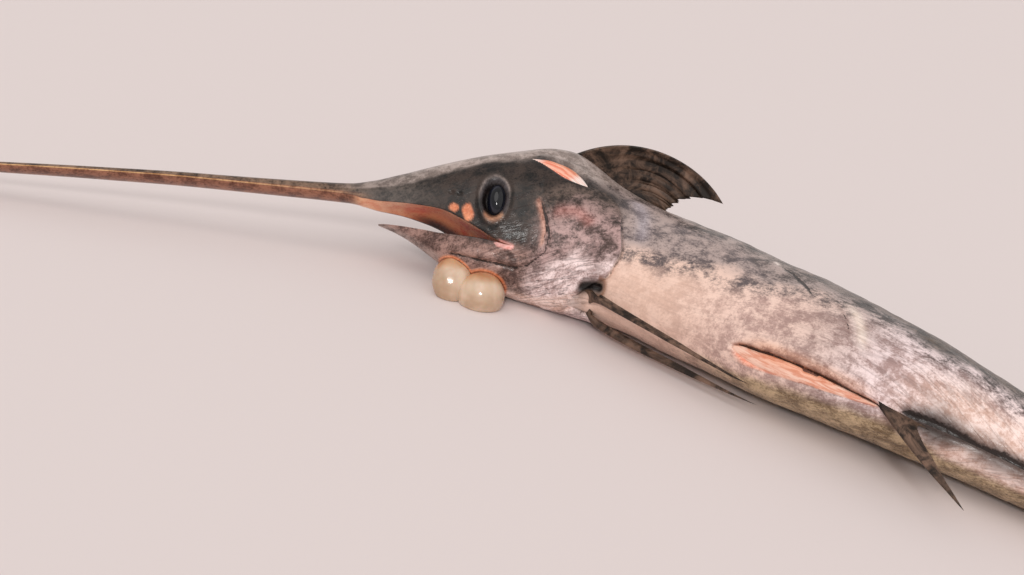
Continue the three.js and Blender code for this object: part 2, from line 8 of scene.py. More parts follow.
import bmesh
import bpy
import numpy as np
from mathutils import Matrix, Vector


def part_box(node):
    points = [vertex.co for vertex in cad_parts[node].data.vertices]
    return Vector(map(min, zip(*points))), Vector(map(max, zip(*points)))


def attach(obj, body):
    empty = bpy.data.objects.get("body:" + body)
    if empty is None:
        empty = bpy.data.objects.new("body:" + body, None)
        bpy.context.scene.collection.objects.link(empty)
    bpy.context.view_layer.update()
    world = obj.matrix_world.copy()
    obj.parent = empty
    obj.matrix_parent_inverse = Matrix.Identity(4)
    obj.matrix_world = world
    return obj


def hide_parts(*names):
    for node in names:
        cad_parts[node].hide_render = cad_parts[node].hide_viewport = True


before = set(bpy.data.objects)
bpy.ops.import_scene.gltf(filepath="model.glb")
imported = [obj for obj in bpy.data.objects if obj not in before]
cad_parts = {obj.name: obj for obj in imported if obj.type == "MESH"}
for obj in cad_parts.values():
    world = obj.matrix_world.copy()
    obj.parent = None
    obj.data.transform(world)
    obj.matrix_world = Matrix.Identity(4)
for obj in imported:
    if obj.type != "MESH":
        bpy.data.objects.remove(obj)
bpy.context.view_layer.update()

# The driving sizes of the body, as in the solids, how many millimetres there are in a metre, and a number
# too small to matter
BODY = 1.5
MM = 1000
TINY = 1e-9
BILL_TIP = -0.45
FLOOR_SINK = 0.0016
TAIL_HEIGHT = 0.058

# Station, back height, belly depth and half width, as parts of the body's length
OUTLINE = np.array([
    [-0.45, 0.0026, 0.0022, 0.004],
    [-0.42, 0.0036, 0.003, 0.0075],
    [-0.3, 0.0052, 0.0038, 0.0105],
    [-0.15, 0.0078, 0.0045, 0.0118],
    [-0.05, 0.0112, 0.0046, 0.012],
    [0, 0.0143, 0.0056, 0.0118],
    [0.02, 0.0204, 0.0214, 0.0148],
    [0.05, 0.0346, 0.0288, 0.02],
    [0.125, 0.0612, 0.0713, 0.0415],
    [0.17, 0.0732, 0.0836, 0.0488],
    [0.2, 0.081, 0.088, 0.0518],
    [0.222, 0.0845, 0.0882, 0.0535],
    [0.26, 0.0825, 0.087, 0.055],
    [0.32, 0.082, 0.085, 0.055],
    [0.4, 0.084, 0.0868, 0.0553],
    [0.5, 0.0895, 0.0935, 0.055],
    [0.6, 0.0813, 0.086, 0.052],
    [0.7, 0.0593, 0.0613, 0.0432],
    [0.8, 0.04, 0.041, 0.034],
    [0.9, 0.0253, 0.0253, 0.024],
    [0.94, 0.021, 0.021, 0.02],
    [1, 0.021, 0.021, 0.012],
])

# Station and how high the middle of the section lies over the spine
BILL_BOW = np.array([
    [-0.45, -0.006],
    [-0.35, -0.0005],
    [-0.25, 0.0035],
    [-0.15, 0.0058],
    [0, 0.0056],
    [0.06, 0],
    [1, 0],
])

# The pose, in degrees, with the stations between which it changes
HEAD_TURN, TRUNK_TURN, TAIL_TURN = 6.8, -32.2, -34.2
NECK = (0.16, 0.35)
HEAD_DIP = 4.2
DIP_ENDS = (0.13, 0.24)
HEAD_ROLL, TRUNK_ROLL, BELLY_ROLL, TAIL_ROLL = 40, 78.3, 101.5, 96
TWIST = (0.17, 0.31, 0.7)
TAIL_BEND, TAIL_LIFT = (0.5, 1), (0.72, 0.92)
HEAD_STATION, CHIN_STATION = 0.125, 0.185

# Station with the height of the upper lip and of the jaw's upper edge
MOUTH_LINE = np.array([
    [-0.012, -0.006, -0.03],
    [0.004, -0.002, -0.0205],
    [0.012, 0.001, -0.0205],
    [0.03, -0.0013, -0.0215],
    [0.05, -0.0022, -0.0238],
    [0.078, -0.006, -0.029],
    [0.093, -0.0095, -0.0323],
    [0.113, -0.0188, -0.035],
    [0.133, -0.0296, -0.0372],
    [0.15, -0.0385, -0.0405],
    [0.168, -0.0436, -0.0446],
])
MOUTH_FRONT = 0.012
MOUTH_CORNER = 0.168
BILL_EDGE_ANGLE = 100
PALATE_ARCH, JAW_SAG = 0.009, 0.008
JAW_CLOSED = 178

# How the skin's grid is laid out: columns on the left and on the right, which patch a place is on, and
# how many places to a metre are told apart when patches are welded
UPPER_COLUMNS = (62, 32)
LOWER_COLUMNS = (42, 24)
INNER_COLUMNS = 26
OUTSIDE, ROOF, BED = 0, 1, 2
WELD_GRID = 1e6

EYE_STATION, EYE_HEIGHT = 0.144, 0.0045
EYE_BALL = (0.0152, 0.017, 0.0265)
EYE_DEPTH = 0.013
EYE_SHIFT = 0.005
ORBIT = (0.0225, 0.037)

# Angle, with the stations of the gill cover's front fold and rear edge
GILL_LINE = np.array([
    [60, 0.2, 0.232],
    [70, 0.19, 0.234],
    [75, 0.19, 0.252],
    [85, 0.19, 0.272],
    [110, 0.204, 0.293],
    [134, 0.186, 0.311],
    [150, 0.176, 0.31],
    [166, 0.19, 0.28],
    [180, 0.2, 0.25],
])
GILL_STEP = 0.0045
GILL_ROW, GILL_GAP = 0.28, 0.0003
ON_COVER = 0.05
GILL_SPAN = (0.175, 0.42)

# The bared throat: places and half sizes of its two lobes along, up and across, from one station
THROAT_STATION = 0.13
THROAT_LOBES = [
    ((-0.030, -0.112, 0.010), (0.030, 0.036, 0.028)),
    ((0.016, -0.132, 0.018), (0.036, 0.034, 0.034)),
]

# The pectoral fins lie back along the belly
PECTORAL_START, PECTORAL_ROOT = 0.28, 0.026
PECTORAL_LENGTH, PECTORAL_SHORTEST, PECTORAL_HOLLOW = 0.3, 0.024, 1.3
PECTORAL_CLEARANCE, PECTORAL_SINK = 0.007, 0.008
TAIL_ROOT_STATION = 0.985
RAY_SWELL = 0.05

# Nothing of the fish comes nearer to the floor than this
LOWEST = 0.0003


def ease(start, end, x):
    """A smooth step from 0 at start to 1 at end: three times t squared less twice t cubed."""
    t = np.clip((x - start) / (end - start), 0, 1)
    return t * t * (3 - 2 * t)


def smooth_curve(table, column, x):
    """A cubic through the points of a table's column. Its slopes are harmonic means of the straight
    lines' own, so it never swings past the points."""
    xs, ys = table[:, 0], table[:, column]
    slopes = np.diff(ys) / np.diff(xs)
    before, after = slopes[:-1], slopes[1:]
    alike = before * after > 0
    total = np.where(alike, before + after, 1)
    inner = np.where(alike, 2 * before * after / total, 0)
    tangents = np.concatenate([slopes[:1], inner, slopes[-1:]])
    place = np.clip(x, xs[0], xs[-1])
    i = np.clip(np.searchsorted(xs, place, side="right") - 1, 0, len(xs) - 2)
    width = xs[i + 1] - xs[i]
    t = (place - xs[i]) / width
    start = ys[i] * (1 + 2 * t) * (1 - t) ** 2 + tangents[i] * width * t * (1 - t) ** 2
    end = ys[i + 1] * t * t * (3 - 2 * t) - tangents[i + 1] * width * t * t * (1 - t)
    return start + end


def back_height(s):
    """How high the back lies over the middle of the section."""
    return smooth_curve(OUTLINE, 1, s) * BODY


def belly_depth(s):
    """How deep the belly lies under the middle of the section."""
    return smooth_curve(OUTLINE, 2, s) * BODY


def half_width(s):
    """Half of the section's width."""
    return smooth_curve(OUTLINE, 3, s) * BODY


def bow_height(s):
    """How high the middle of the section lies over the spine."""
    return smooth_curve(BILL_BOW, 1, s) * BODY


def turn_at(s):
    """How far the spine has turned about the upright, in radians."""
    at_neck = HEAD_TURN + (TRUNK_TURN - HEAD_TURN) * ease(*NECK, s)
    return np.radians(at_neck + (TAIL_TURN - TRUNK_TURN) * ease(*TAIL_BEND, s))


def dip_at(s):
    """How far the head dips below the level, in radians."""
    return np.radians(HEAD_DIP * (1 - ease(*DIP_ENDS, s)))


def roll_at(s):
    """How far the back has rolled over from the upright, in radians."""
    at_trunk = HEAD_ROLL + (TRUNK_ROLL - HEAD_ROLL) * ease(TWIST[0], TWIST[1], s)
    at_belly = at_trunk + (BELLY_ROLL - TRUNK_ROLL) * ease(TWIST[1], TWIST[2], s)
    return np.radians(at_belly + (TAIL_ROLL - BELLY_ROLL) * ease(TWIST[2], 1, s))


def rest_height(s):
    """The spine's height at which the rolled section, or the tail's keel, just meets the floor."""
    high, low, roll = back_height(s), belly_depth(s), roll_at(s)
    reach = np.hypot((high + low) / 2 * np.cos(roll), half_width(s) * np.sin(roll))
    body = reach - (high - low) / 2 * np.cos(roll)
    return body + (TAIL_HEIGHT - body) * ease(*TAIL_LIFT, s) - FLOOR_SINK


SPINE_STEPS = 580
SPINE_STEP = (1 - BILL_TIP) / SPINE_STEPS


def make_spine():
    """The spine's points: small steps added up along the turned and dipped direction, and moved so that
    the head's point lies at x = y = 0."""
    middle = BILL_TIP + (np.arange(SPINE_STEPS) + 0.5) * SPINE_STEP
    dip, turn = dip_at(middle), turn_at(middle)
    step = np.stack([np.cos(dip) * np.cos(turn), np.cos(dip) * np.sin(turn), np.sin(dip)], -1)
    points = np.concatenate([np.zeros((1, 3)), np.cumsum(step * SPINE_STEP * BODY, 0)])
    head = points[round((HEAD_STATION - BILL_TIP) / SPINE_STEP)].copy()
    chin = points[round((CHIN_STATION - BILL_TIP) / SPINE_STEP)].copy()
    s = BILL_TIP + np.arange(SPINE_STEPS + 1) * SPINE_STEP
    points[:, :2] -= head[:2]
    rigid = points[:, 2] - chin[2] + rest_height(CHIN_STATION)
    points[:, 2] = np.where(s < CHIN_STATION, rigid, rest_height(s))
    return points


SPINE = make_spine()


def spine_at(s):
    """The spine's point at a station, between its two nearest steps."""
    place = np.clip((s - BILL_TIP) / SPINE_STEP, 0, SPINE_STEPS - TINY)
    i = np.floor(place).astype(int)
    return SPINE[i] + (SPINE[i + 1] - SPINE[i]) * (place - i)[..., None]


def axes_at(s):
    """The fish's own directions at a station: along, towards the back, and towards its left side."""
    dip, turn, roll = dip_at(s), turn_at(s), roll_at(s)
    along = np.stack([np.cos(dip) * np.cos(turn), np.cos(dip) * np.sin(turn), np.sin(dip)], -1)
    level = np.cross(np.array([0, 0, 1.0]), along)
    level /= np.linalg.norm(level, axis=-1, keepdims=True)
    lift = np.cross(along, level)
    cosine, sine = np.cos(roll)[..., None], np.sin(roll)[..., None]
    return along, lift * cosine + level * sine, lift * sine - level * cosine


def body_point(s, forward, height, side):
    """A point in the fish's own directions, from the spine at a station."""
    values = [np.asarray(value, float) for value in (s, forward, height, side)]
    s, forward, height, side = np.broadcast_arrays(*values)
    along, dorsal, left = axes_at(s)
    moved = along * forward[..., None] + dorsal * height[..., None] + left * side[..., None]
    return spine_at(s) + moved + CENTRING


def section_point(s, angle, off=0.0):
    """Height and side of the section's half ellipses at an angle, moved by off along their normal."""
    s, angle, off = np.broadcast_arrays(*(np.asarray(value, float) for value in (s, angle, off)))
    cosine, sine = np.cos(np.radians(angle)), np.sin(np.radians(angle))
    tall = np.where(cosine > 0, back_height(s), belly_depth(s))
    wide = half_width(s)
    scale = off / np.hypot(cosine * wide, sine * tall)
    return bow_height(s) + tall * cosine + cosine * wide * scale, wide * sine + sine * tall * scale


def skin_point(s, angle, off=0.0):
    """A point on the plain skin, or off it along the section's normal."""
    height, side = section_point(s, angle, off)
    return body_point(s, 0.0, height, side)


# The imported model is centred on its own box: the left eye's middle tells by how much
CENTRING = np.zeros(3)
eye_low, eye_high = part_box("eye_left")
eye_side = float(half_width(EYE_STATION)) - EYE_DEPTH
CENTRING = (np.array(eye_low) + np.array(eye_high)) / 2 - body_point(EYE_STATION, 0, EYE_HEIGHT, eye_side)

# The camera stands over the fish's left side and looks down at it, a little turned about its own line
CAMERA_PLACE = np.array([0.084, -1.673, 0.707]) + CENTRING
CAMERA_PITCH, CAMERA_ROLL = 23, 12
CAMERA_FOCUS_PIXELS, FRAME_WIDTH = 1150, 1024
SENSOR_WIDTH = 36
CAMERA_NEAR, CAMERA_FAR = 0.05, 500


def make_camera():
    """A camera whose axes are the pitched view direction and the picture's own right and down, rolled."""
    pitch, roll = np.radians(CAMERA_PITCH), np.radians(CAMERA_ROLL)
    forward = np.array([0, np.cos(pitch), -np.sin(pitch)])
    right = np.array([1.0, 0, 0])
    down = np.array([0, -np.sin(pitch), -np.cos(pitch)])
    picture_right = np.cos(roll) * right - np.sin(roll) * down
    picture_down = np.sin(roll) * right + np.cos(roll) * down
    data = bpy.data.cameras.new("camera")
    data.sensor_width = SENSOR_WIDTH
    data.lens = SENSOR_WIDTH * CAMERA_FOCUS_PIXELS / FRAME_WIDTH
    data.clip_start, data.clip_end = CAMERA_NEAR, CAMERA_FAR
    camera = bpy.data.objects.new("camera", data)
    bpy.context.scene.collection.objects.link(camera)
    matrix = np.eye(4)
    matrix[:3, 0], matrix[:3, 1], matrix[:3, 2] = picture_right, -picture_down, -forward
    matrix[:3, 3] = CAMERA_PLACE
    camera.matrix_world = Matrix(matrix.tolist())
    bpy.context.scene.camera = camera


# The skin's own flat chart, in millimetres: x along the body, y round it from the back
ARC_STEPS = 40
FAR_AWAY = 1e9
NO_WIDTH = 0.01


def fold(angle):
    """An angle mirrored onto the left side, from 0 on the back to 180 on the belly."""
    return np.where(angle > 180, 360 - angle, np.abs(angle))


def chart_x(s):
    """A station's place along the chart."""
    return s * BODY * MM


def arc_length(s, angle):
    """The length round the section from the back to an angle, as a sum of small steps."""
    folded = fold(angle)
    high, low, wide = back_height(s), belly_depth(s), half_width(s)
    total = np.zeros(np.broadcast(s, folded).shape)
    for k in range(ARC_STEPS):
        a = np.radians(folded * (k + 0.5) / ARC_STEPS)
        tall = np.where(a < np.pi / 2, high, low)
        total = total + np.hypot(tall * np.sin(a), wide * np.cos(a)) * np.radians(folded / ARC_STEPS)
    return total * MM


def chart(points):
    """The chart places of a list of station and angle pairs."""
    s, angle = np.array(points, float).T
    return np.stack([chart_x(s), arc_length(s, angle)], -1)


def line_distance(x, y, points):
    """Every chart place's distance from a line through station and angle pairs, and its share of the way
    along the line, from 0 to 1. The distance is below 0 on the side of the back."""
    places = chart(points)
    best = np.full(x.shape, FAR_AWAY)
    signed = np.zeros(x.shape)
    share = np.zeros(x.shape)
    lengths = np.linalg.norm(np.diff(places, axis=0), axis=1)
    before = np.concatenate([[0], np.cumsum(lengths)])
    for k, (a, b) in enumerate(zip(places[:-1], places[1:])):
        d = b - a
        t = np.clip(((x - a[0]) * d[0] + (y - a[1]) * d[1]) / (d @ d), 0, 1)
        distance = np.hypot(x - a[0] - t * d[0], y - a[1] - t * d[1])
        side = np.sign(d[0] * (y - a[1]) - d[1] * (x - a[0]) + TINY)
        nearer = distance < best
        best = np.where(nearer, distance, best)
        signed = np.where(nearer, distance * side, signed)
        share = np.where(nearer, (before[k] + t * lengths[k]) / before[-1], share)
    return signed, share


def bell(distance, width):
    """A bell that is 1 at no distance and fades over a width."""
    return np.exp(-((distance / width) ** 2))


def taper(share, ends=0.15):
    """1 along a line, falling to 0 at both of its ends."""
    return ease(0, ends, share) * ease(0, ends, 1 - share)


WAVES = 7
STRETCH = (0.7, 1.4)
WAVES_TO_ONE = 5


def wander(x, y, z, size, seed, octaves=3):
    """Smooth noise between about -1 and 1: waves in seeded directions are added up, and each octave has
    half the height and half the length of the one before."""
    random = np.random.default_rng(seed)
    total = np.zeros(np.shape(x))
    for octave in range(octaves):
        for wave in range(WAVES):
            direction = random.normal(size=3)
            direction /= np.linalg.norm(direction)
            phase = random.uniform(0, 2 * np.pi)
            stretch = random.uniform(*STRETCH) * 2 ** octave
            ramp = (x * direction[0] + y * direction[1] + z * direction[2]) * stretch
            total += np.sin(ramp * 2 * np.pi / size + phase) / 2 ** octave
    return total / WAVES_TO_ONE


# Lines and marks on the left side, as station and angle
CHEEK_FOLD = [
    [0.095, 153], [0.135, 141], [0.171, 139], [0.186, 135],
    [0.204, 125], [0.206, 113], [0.198, 99], [0.188, 85],
]
CHEEK_STRIPE = [[0.186, 85], [0.192, 96], [0.199, 110], [0.198, 122]]
GILL_BLUSH = [[0.212, 96], [0.235, 97], [0.252, 105]]
UPPER_SLIT = [[0.176, 42], [0.19, 48], [0.207, 56], [0.224, 65], [0.24, 74]]
BELLY_CUT = [[0.458, 167], [0.484, 171.5], [0.511, 174], [0.54, 176], [0.57, 178], [0.599, 179]]
VENTRAL_GROOVE = [
    [0.61, 177], [0.628, 183], [0.65, 184], [0.68, 180],
    [0.7, 177], [0.78, 178], [0.86, 180],
]
SCRATCHES = [[0.441, 77], [0.462, 84], [0.48, 93], [0.497, 104]]
SCRATCH_FLECK = [[0.4395, 75], [0.442, 78]]
PALE_STREAK = [[0.519, 93], [0.536, 104], [0.552, 121], [0.566, 142]]
STREAK_SHADOW = [[0.508, 97], [0.524, 106], [0.541, 122], [0.55, 136]]
FIN_PIT = [[0.277, 163], [0.292, 163.5], [0.303, 164.5]]
SHOULDER_PATCH = [[0.287, 70], [0.301, 86], [0.318, 108]]
NOSTRILS = [([0.1, 80], [0.103, 81]), ([0.108, 82], [0.111, 83])]
CORNER_FLESH = [[0.148, 121.8], [0.168, 122.6]]

# The bare patches before the eye, each a short line and how far the patch reaches from it
BARE_PATCHES = [
    ([[0.103, 96], [0.107, 98]], 5),
    ([[0.1175, 97], [0.121, 104]], 7.5),
]

# The slit behind the head and the cut along the belly: half width; power and lean of the lens; depth; and
# the height, place and width of the lip on the back's side. The sunk trough is wider than its flesh.
SLIT_HALF, SLIT_SHAPE, SLIT_DEPTH, SLIT_LIP = 12, (0.85, 1.35), 0.007, (0.0015, 2, 4)
CUT_HALF, CUT_SHAPE, CUT_DEPTH, CUT_LIP = 12.5, (0.9, 0.7), 0.009, (0.002, 3, 5)
TROUGH_WIDER = 1.35

# Long faint wrinkles on the lower gill cover, darkened with painted shade
GILL_WRINKLES = [
    [[0.15, 149], [0.18, 148], [0.21, 149], [0.25, 151], [0.29, 147]],
    [[0.155, 155], [0.19, 155], [0.22, 157], [0.26, 158], [0.29, 153]],
    [[0.18, 143], [0.205, 143], [0.235, 146], [0.27, 143]],
    [[0.17, 162], [0.2, 163], [0.24, 165], [0.27, 163]],
]
WRINKLE_HALF, WRINKLE_ENDS, WRINKLE_FAINT = 1.0, 0.3, 0.35

# Narrow dark creases, painted shade in folds, grooves and the cut's upper edge, and also dark scratches
# and the stripe's edges: line, half width, how much its tapered ends take, and how far it is moved aside
CREASE_FAR = 6
CREASES = [
    (CHEEK_FOLD, 1.9, 0.12, 0),
    (CHEEK_STRIPE, 1.1, 0.2, -5),
    (SCRATCHES, 4.2, 0.25, 0),
    (STREAK_SHADOW, 1.2, 0.3, 0),
    (VENTRAL_GROOVE, 7, 0.06, 0),
    (BELLY_CUT, 2, 0.1, -CUT_HALF),
]
# Painted shade in the gap behind the gill cover: half width, place past the edge, and how faint it is
GILL_CREASE, GILL_CREASE_PLACE, GILL_CREASE_FAINT = 1.5, 1.6, 0.1


def side_height(s, angle):
    """How far over the spine a place on the plain section lies, in millimetres."""
    return section_point(s, angle)[0] * MM


def eye_ring(s, angle):
    """The distance from the eye's middle, as a share of the orbit's half sizes."""
    along = (s - EYE_STATION) * BODY
    up = section_point(s, angle)[0] - EYE_HEIGHT
    ring = np.hypot(along / ORBIT[0], up / ORBIT[1])
    first, last, elsewhere = 20, 150, 9
    folded = fold(angle)
    return ring * np.where((folded > first) & (folded < last), 1, elsewhere)


def gill_share(s, folded):
    """A place's share of the way from the gill cover's front fold, 0, to its rear edge, 1, and how many
    millimetres past that edge it lies."""
    front = smooth_curve(GILL_LINE, 1, folded)
    rear = smooth_curve(GILL_LINE, 2, folded)
    return (s - front) / (rear - front), (s - rear) * BODY * MM


def gill_fade(folded):
    """1 along the free edge of the gill cover, falling to 0 at its top and at the belly."""
    top, bottom, belly = (62, 76), (0, 10), 174
    return ease(*top, folded) * ease(*bottom, belly - folded)


def lens(share, power=0.7, lean=1.0):
    """The half width of a slit along its length: a sine to a power. With a lean other than 1 it is
    fullest nearer to one end."""
    return np.sin(np.pi * np.clip(share, 0.0, 1.0) ** lean) ** power


def gape(share, half, shape, wider=1.0):
    """A slit's half width in millimetres at a share of its length, never quite nothing."""
    return half * wider * lens(share, *shape) + NO_WIDTH


def throat_ring(s, angle):
    """How far a place on the skin lies outside the nearest throat lobe, as a share of the lobe's size."""
    height, side = section_point(s, angle)
    nearest = np.full(s.shape, FAR_AWAY)
    for (forward, up, across), (long, tall, wide) in THROAT_LOBES:
        along = (s - THROAT_STATION) * BODY - forward
        ring = np.sqrt((along / long) ** 2 + ((height - up) / tall) ** 2 + ((side - across) / wide) ** 2)
        nearest = np.minimum(nearest, ring - 1)
    return nearest


# The relief of the skin. Heights and depths are in metres, widths in millimetres on the chart.


def eye_relief(s, angle):
    """A raised rim round the eye, and the socket sunk inside it."""
    rim_height, rim_width = 0.0026, 0.16
    socket_depth, socket_edge = 0.012, (0.52, 0.86)
    ring = eye_ring(s, angle)
    return rim_height * bell(ring - 1, rim_width) - socket_depth * (1 - ease(*socket_edge, ring))


def nape_relief(s, folded):
    """A low hump on the nape, before the fin."""
    height, station, reach, sides = 0.008, 0.224, 0.03, (20, 46)
    return height * bell(s - station, reach) * (1 - ease(*sides, folded))


def gill_relief(s, folded):
    """The gill cover thickens towards its rear edge, and behind that lies a narrow gap."""
    front_height, thickening = 0.0006, (0.15, 1)
    gap_depth, gap_width = 0.0035, 3.5
    share, past = gill_share(s, folded)
    cover = front_height + GILL_STEP * ease(*thickening, share)
    gap = gap_depth * bell(past, gap_width)
    return gill_fade(folded) * np.where(past < ON_COVER, cover * (share > 0), -gap)


def cheek_relief(x, y):
    """The fold behind the cheek: a furrow with a swelling before it."""
    furrow_depth, furrow_width, furrow_ends = 0.0024, 3.2, 0.1
    swelling, swelling_place, swelling_width, swelling_ends = 0.0016, 7, 5, 0.2
    furrow, share = line_distance(x, y, CHEEK_FOLD)
    sunk = furrow_depth * bell(furrow, furrow_width) * taper(share, furrow_ends)
    raised = swelling * bell(furrow + swelling_place, swelling_width) * taper(share, swelling_ends)
    return raised - sunk


def opening_relief(x, y, line, half, shape, depth, lip):
    """A slit's trough, its depth times one less the square of the way to its edge, and its lip."""
    distance, share = line_distance(x, y, line)
    width = gape(share, half, shape, TROUGH_WIDER)
    height, place, spread = lip
    raised = height * bell(distance + width + place, spread) * taper(share)
    return raised - depth * np.clip(1 - (distance / width) ** 2, 0, 1)


def groove_relief(x, y):
    """The groove behind the vent, which gets shallower towards the tail."""
    depth, width, start, loss = 0.005, 5, (0, 0.1), 0.8
    groove, share = line_distance(x, y, VENTRAL_GROOVE)
    return -depth * bell(groove, width) * ease(*start, share) * (1 - loss * share)


def pit_relief(x, y):
    """The pit that the pectoral fin comes out of."""
    depth, width = 0.008, 9
    return -depth * bell(line_distance(x, y, FIN_PIT)[0], width)


def nostril_relief(x, y):
    """Two small holes, each with a low rim."""
    rim_height, rim_place, rim_width = 0.0004, 4, 1.6
    hole_depth, hole_width = 0.0025, 2
    height = np.zeros(x.shape)
    for line in NOSTRILS:
        hole = line_distance(x, y, line)[0]
        height += rim_height * bell(np.abs(hole) - rim_place, rim_width)
        height -= hole_depth * bell(hole, hole_width)
    return height


def keel_relief(s, angle, folded):
    """The keel on each side of the tail stem: a ridge that comes and goes as a sine to a power."""
    start, length, power = 0.895, 0.1, 0.7
    width, clearance, first, last = 6.5, 0.0005, 45, 135
    off_middle = side_height(s, angle) - bow_height(s) * MM
    rise = np.sin(np.pi * np.clip((s - start) / length, 0, 1)) ** power
    reach = rise * (TAIL_HEIGHT - half_width(s) - clearance)
    return reach * bell(off_middle, width) * (folded > first) * (folded < last)


def bill_relief(s, folded):
    """A ridge along both edges of the bill, and a shallow hollow above each."""
    tip, root = -0.44, (-0.03, 0.03)
    ridge_height, ridge_angle, ridge_width, ridge_start = 0.001, 98, 9, (-0.45, -0.35)
    hollow_depth, hollow_angle, hollow_width = 0.0007, 70, 10
    on_bill = (s > tip) * (1 - ease(*root, s))
    ridge = ridge_height * bell(folded - ridge_angle, ridge_width) * ease(*ridge_start, s)
    return on_bill * (ridge - hollow_depth * bell(folded - hollow_angle, hollow_width))


def slack_relief(s, folded, left, x, y):
    """The slack of the skin: long and short waves on the trunk, and finer ones on the cheek."""
    trunk_start, trunk_end, off_back = (0.22, 0.34), (0.88, 0.94), (0, 30)
    cheek_start, cheek_end, off_crown = (0.1, 0.16), (0.26, 0.3), (60, 90)
    long_waves = 0.0012 * wander(x, y * 0.7, 30 * left, size=110, seed=4, octaves=2)
    short_waves = 0.0004 * wander(x, y, 9 * left, size=26, seed=5, octaves=2)
    fine_waves = 0.0006 * wander(x, y, 5 * left, size=16, seed=6)
    trunk = ease(*trunk_start, s) * (1 - ease(*trunk_end, s)) * ease(*off_back, folded)
    cheek = ease(*cheek_start, s) * (1 - ease(*cheek_end, s)) * ease(*off_crown, folded)
    return trunk * (long_waves + short_waves) + cheek * fine_waves


def relief(s, angle, x, y):
    """The skin's height over the plain section: rims, folds, cuts and steps added up."""
    folded, left = fold(angle), angle <= 180
    height = eye_relief(s, angle) + nape_relief(s, folded) + gill_relief(s, folded) + cheek_relief(x, y)
    height += opening_relief(x, y, UPPER_SLIT, SLIT_HALF, SLIT_SHAPE, SLIT_DEPTH, SLIT_LIP)
    height += left * opening_relief(x, y, BELLY_CUT, CUT_HALF, CUT_SHAPE, CUT_DEPTH, CUT_LIP)
    height += left * pit_relief(x, y) + groove_relief(x, y) + nostril_relief(x, y)
    height += keel_relief(s, angle, folded) + bill_relief(s, folded)
    return height + slack_relief(s, folded, left, x, y)


# Colours as the eye sees them, from 0 to 255


def colour(red, green, blue):
    """A seen colour as the linear one that light adds up in: nearly the power 2.4 of its share of 255,
    and a straight line near black."""
    value = np.array([red, green, blue]) / 255
    return np.where(value <= 0.04045, value / 12.92, ((value + 0.055) / 1.055) ** 2.4)


# Each kind of skin has a dark and a light tone, which the material mottles
HEAD_SIDE = (colour(13, 9, 7), colour(58, 46, 40))
# Painted highlight: the pale crown where light falls on the top of the head
CROWN_HIGHLIGHT = (colour(128, 113, 106), colour(190, 173, 166))
SNOUT = (colour(46, 40, 37), colour(104, 93, 86))
GILL_TOP = (colour(42, 34, 30), colour(112, 94, 85))
GILL_MIDDLE = (colour(78, 61, 57), colour(188, 156, 152))
GILL_LOW = (colour(170, 141, 137), colour(250, 228, 226))
JAW = (colour(76, 54, 48), colour(170, 136, 126))
JAW_UNDER = (colour(104, 86, 80), colour(176, 152, 144))
SHOULDER = (colour(128, 116, 120), colour(186, 174, 178))
BACK = (colour(62, 53, 48), colour(140, 124, 116))
UPPER_SIDE = (colour(96, 85, 86), colour(184, 164, 158))
BELLY = (colour(220, 184, 166), colour(238, 204, 187))
MIDDLE_FLANK = (colour(178, 146, 138), colour(240, 208, 194))
REAR_FLANK = (colour(174, 145, 141), colour(248, 227, 227))
REAR_BACK = (colour(38, 31, 26), colour(104, 88, 76))
REAR_BELLY = (colour(206, 168, 152), colour(252, 228, 220))
# An olive tone for painted shade on the right side of the belly, which faces the floor
UNDERSIDE_SHADE = (colour(118, 96, 70), colour(202, 176, 142))
BILL_TOP = (colour(58, 43, 34), colour(134, 107, 88))
BILL_UNDER = (colour(92, 52, 38), colour(160, 108, 84))
BILL_EDGE = (colour(176, 124, 72), colour(232, 188, 130))
SHADOW = (colour(22, 17, 16), colour(30, 25, 24))
EYE_LID = (colour(170, 118, 90), colour(214, 164, 132))
BARE_FLESH = (colour(206, 116, 76), colour(240, 160, 120))
PALE_FLESH = (colour(234, 128, 96), colour(250, 186, 160))
CLEAN_FLESH = (colour(244, 206, 194), colour(254, 240, 232))
CUT_TINT = (colour(226, 154, 126), colour(246, 204, 184))
# Light orange for the front of the roof, and painted light along the mouth's near lip
PALATE_FRONT_AND_LIT_LIP = (colour(236, 146, 104), colour(252, 192, 150))
PALATE_MIDDLE = (colour(240, 92, 46), colour(255, 156, 96))
# Painted shade on the far side of the roof and in the middle of the jaw's bed
MOUTH_SHADE = (colour(34, 14, 10), colour(84, 34, 22))
STREAK = (colour(244, 220, 204), colour(250, 232, 220))
MEMBRANE = (colour(178, 146, 118), colour(220, 194, 170))
MEMBRANE_EDGE = (colour(180, 122, 84), colour(214, 170, 132))
FIN_SKIN = (colour(33, 25, 20), colour(122, 96, 81))
FIN_FOOT = (colour(36, 26, 17), colour(74, 54, 38))
FIN_EDGE = (colour(50, 38, 30), colour(120, 96, 78))
SOCKET = (colour(44, 38, 38), colour(78, 72, 74))
MOUTH_CORNER_FLESH = (colour(226, 140, 128), colour(250, 190, 182))
EYE_DARK = (colour(9, 10, 18), colour(20, 22, 34))
EYE_RING = (colour(40, 42, 56), colour(58, 60, 76))
PUPIL = (colour(4, 5, 12), colour(8, 10, 20))
BED_FLESH = (colour(120, 62, 48), colour(172, 104, 84))
BLUSH = (colour(150, 96, 88), colour(206, 148, 140))
STRIPE = (colour(158, 106, 88), colour(214, 166, 148))
PIT_RIM = (colour(120, 70, 44), colour(190, 134, 100))
CUT_BROW = (colour(176, 112, 78), colour(232, 176, 144))
CUT_LIP_TINT = (colour(84, 40, 22), colour(150, 88, 56))
STREAK_SHADE = (colour(130, 100, 92), colour(176, 146, 136))
# Painted shade in the wrinkles' furrows, and in creases, folds and grooves, where it also darkens
# scratches and lines
WRINKLE_SHADE = (*colour(70, 52, 50), 1)
CREASE_SHADE_AND_LINES = (*colour(28, 19, 16), 1)

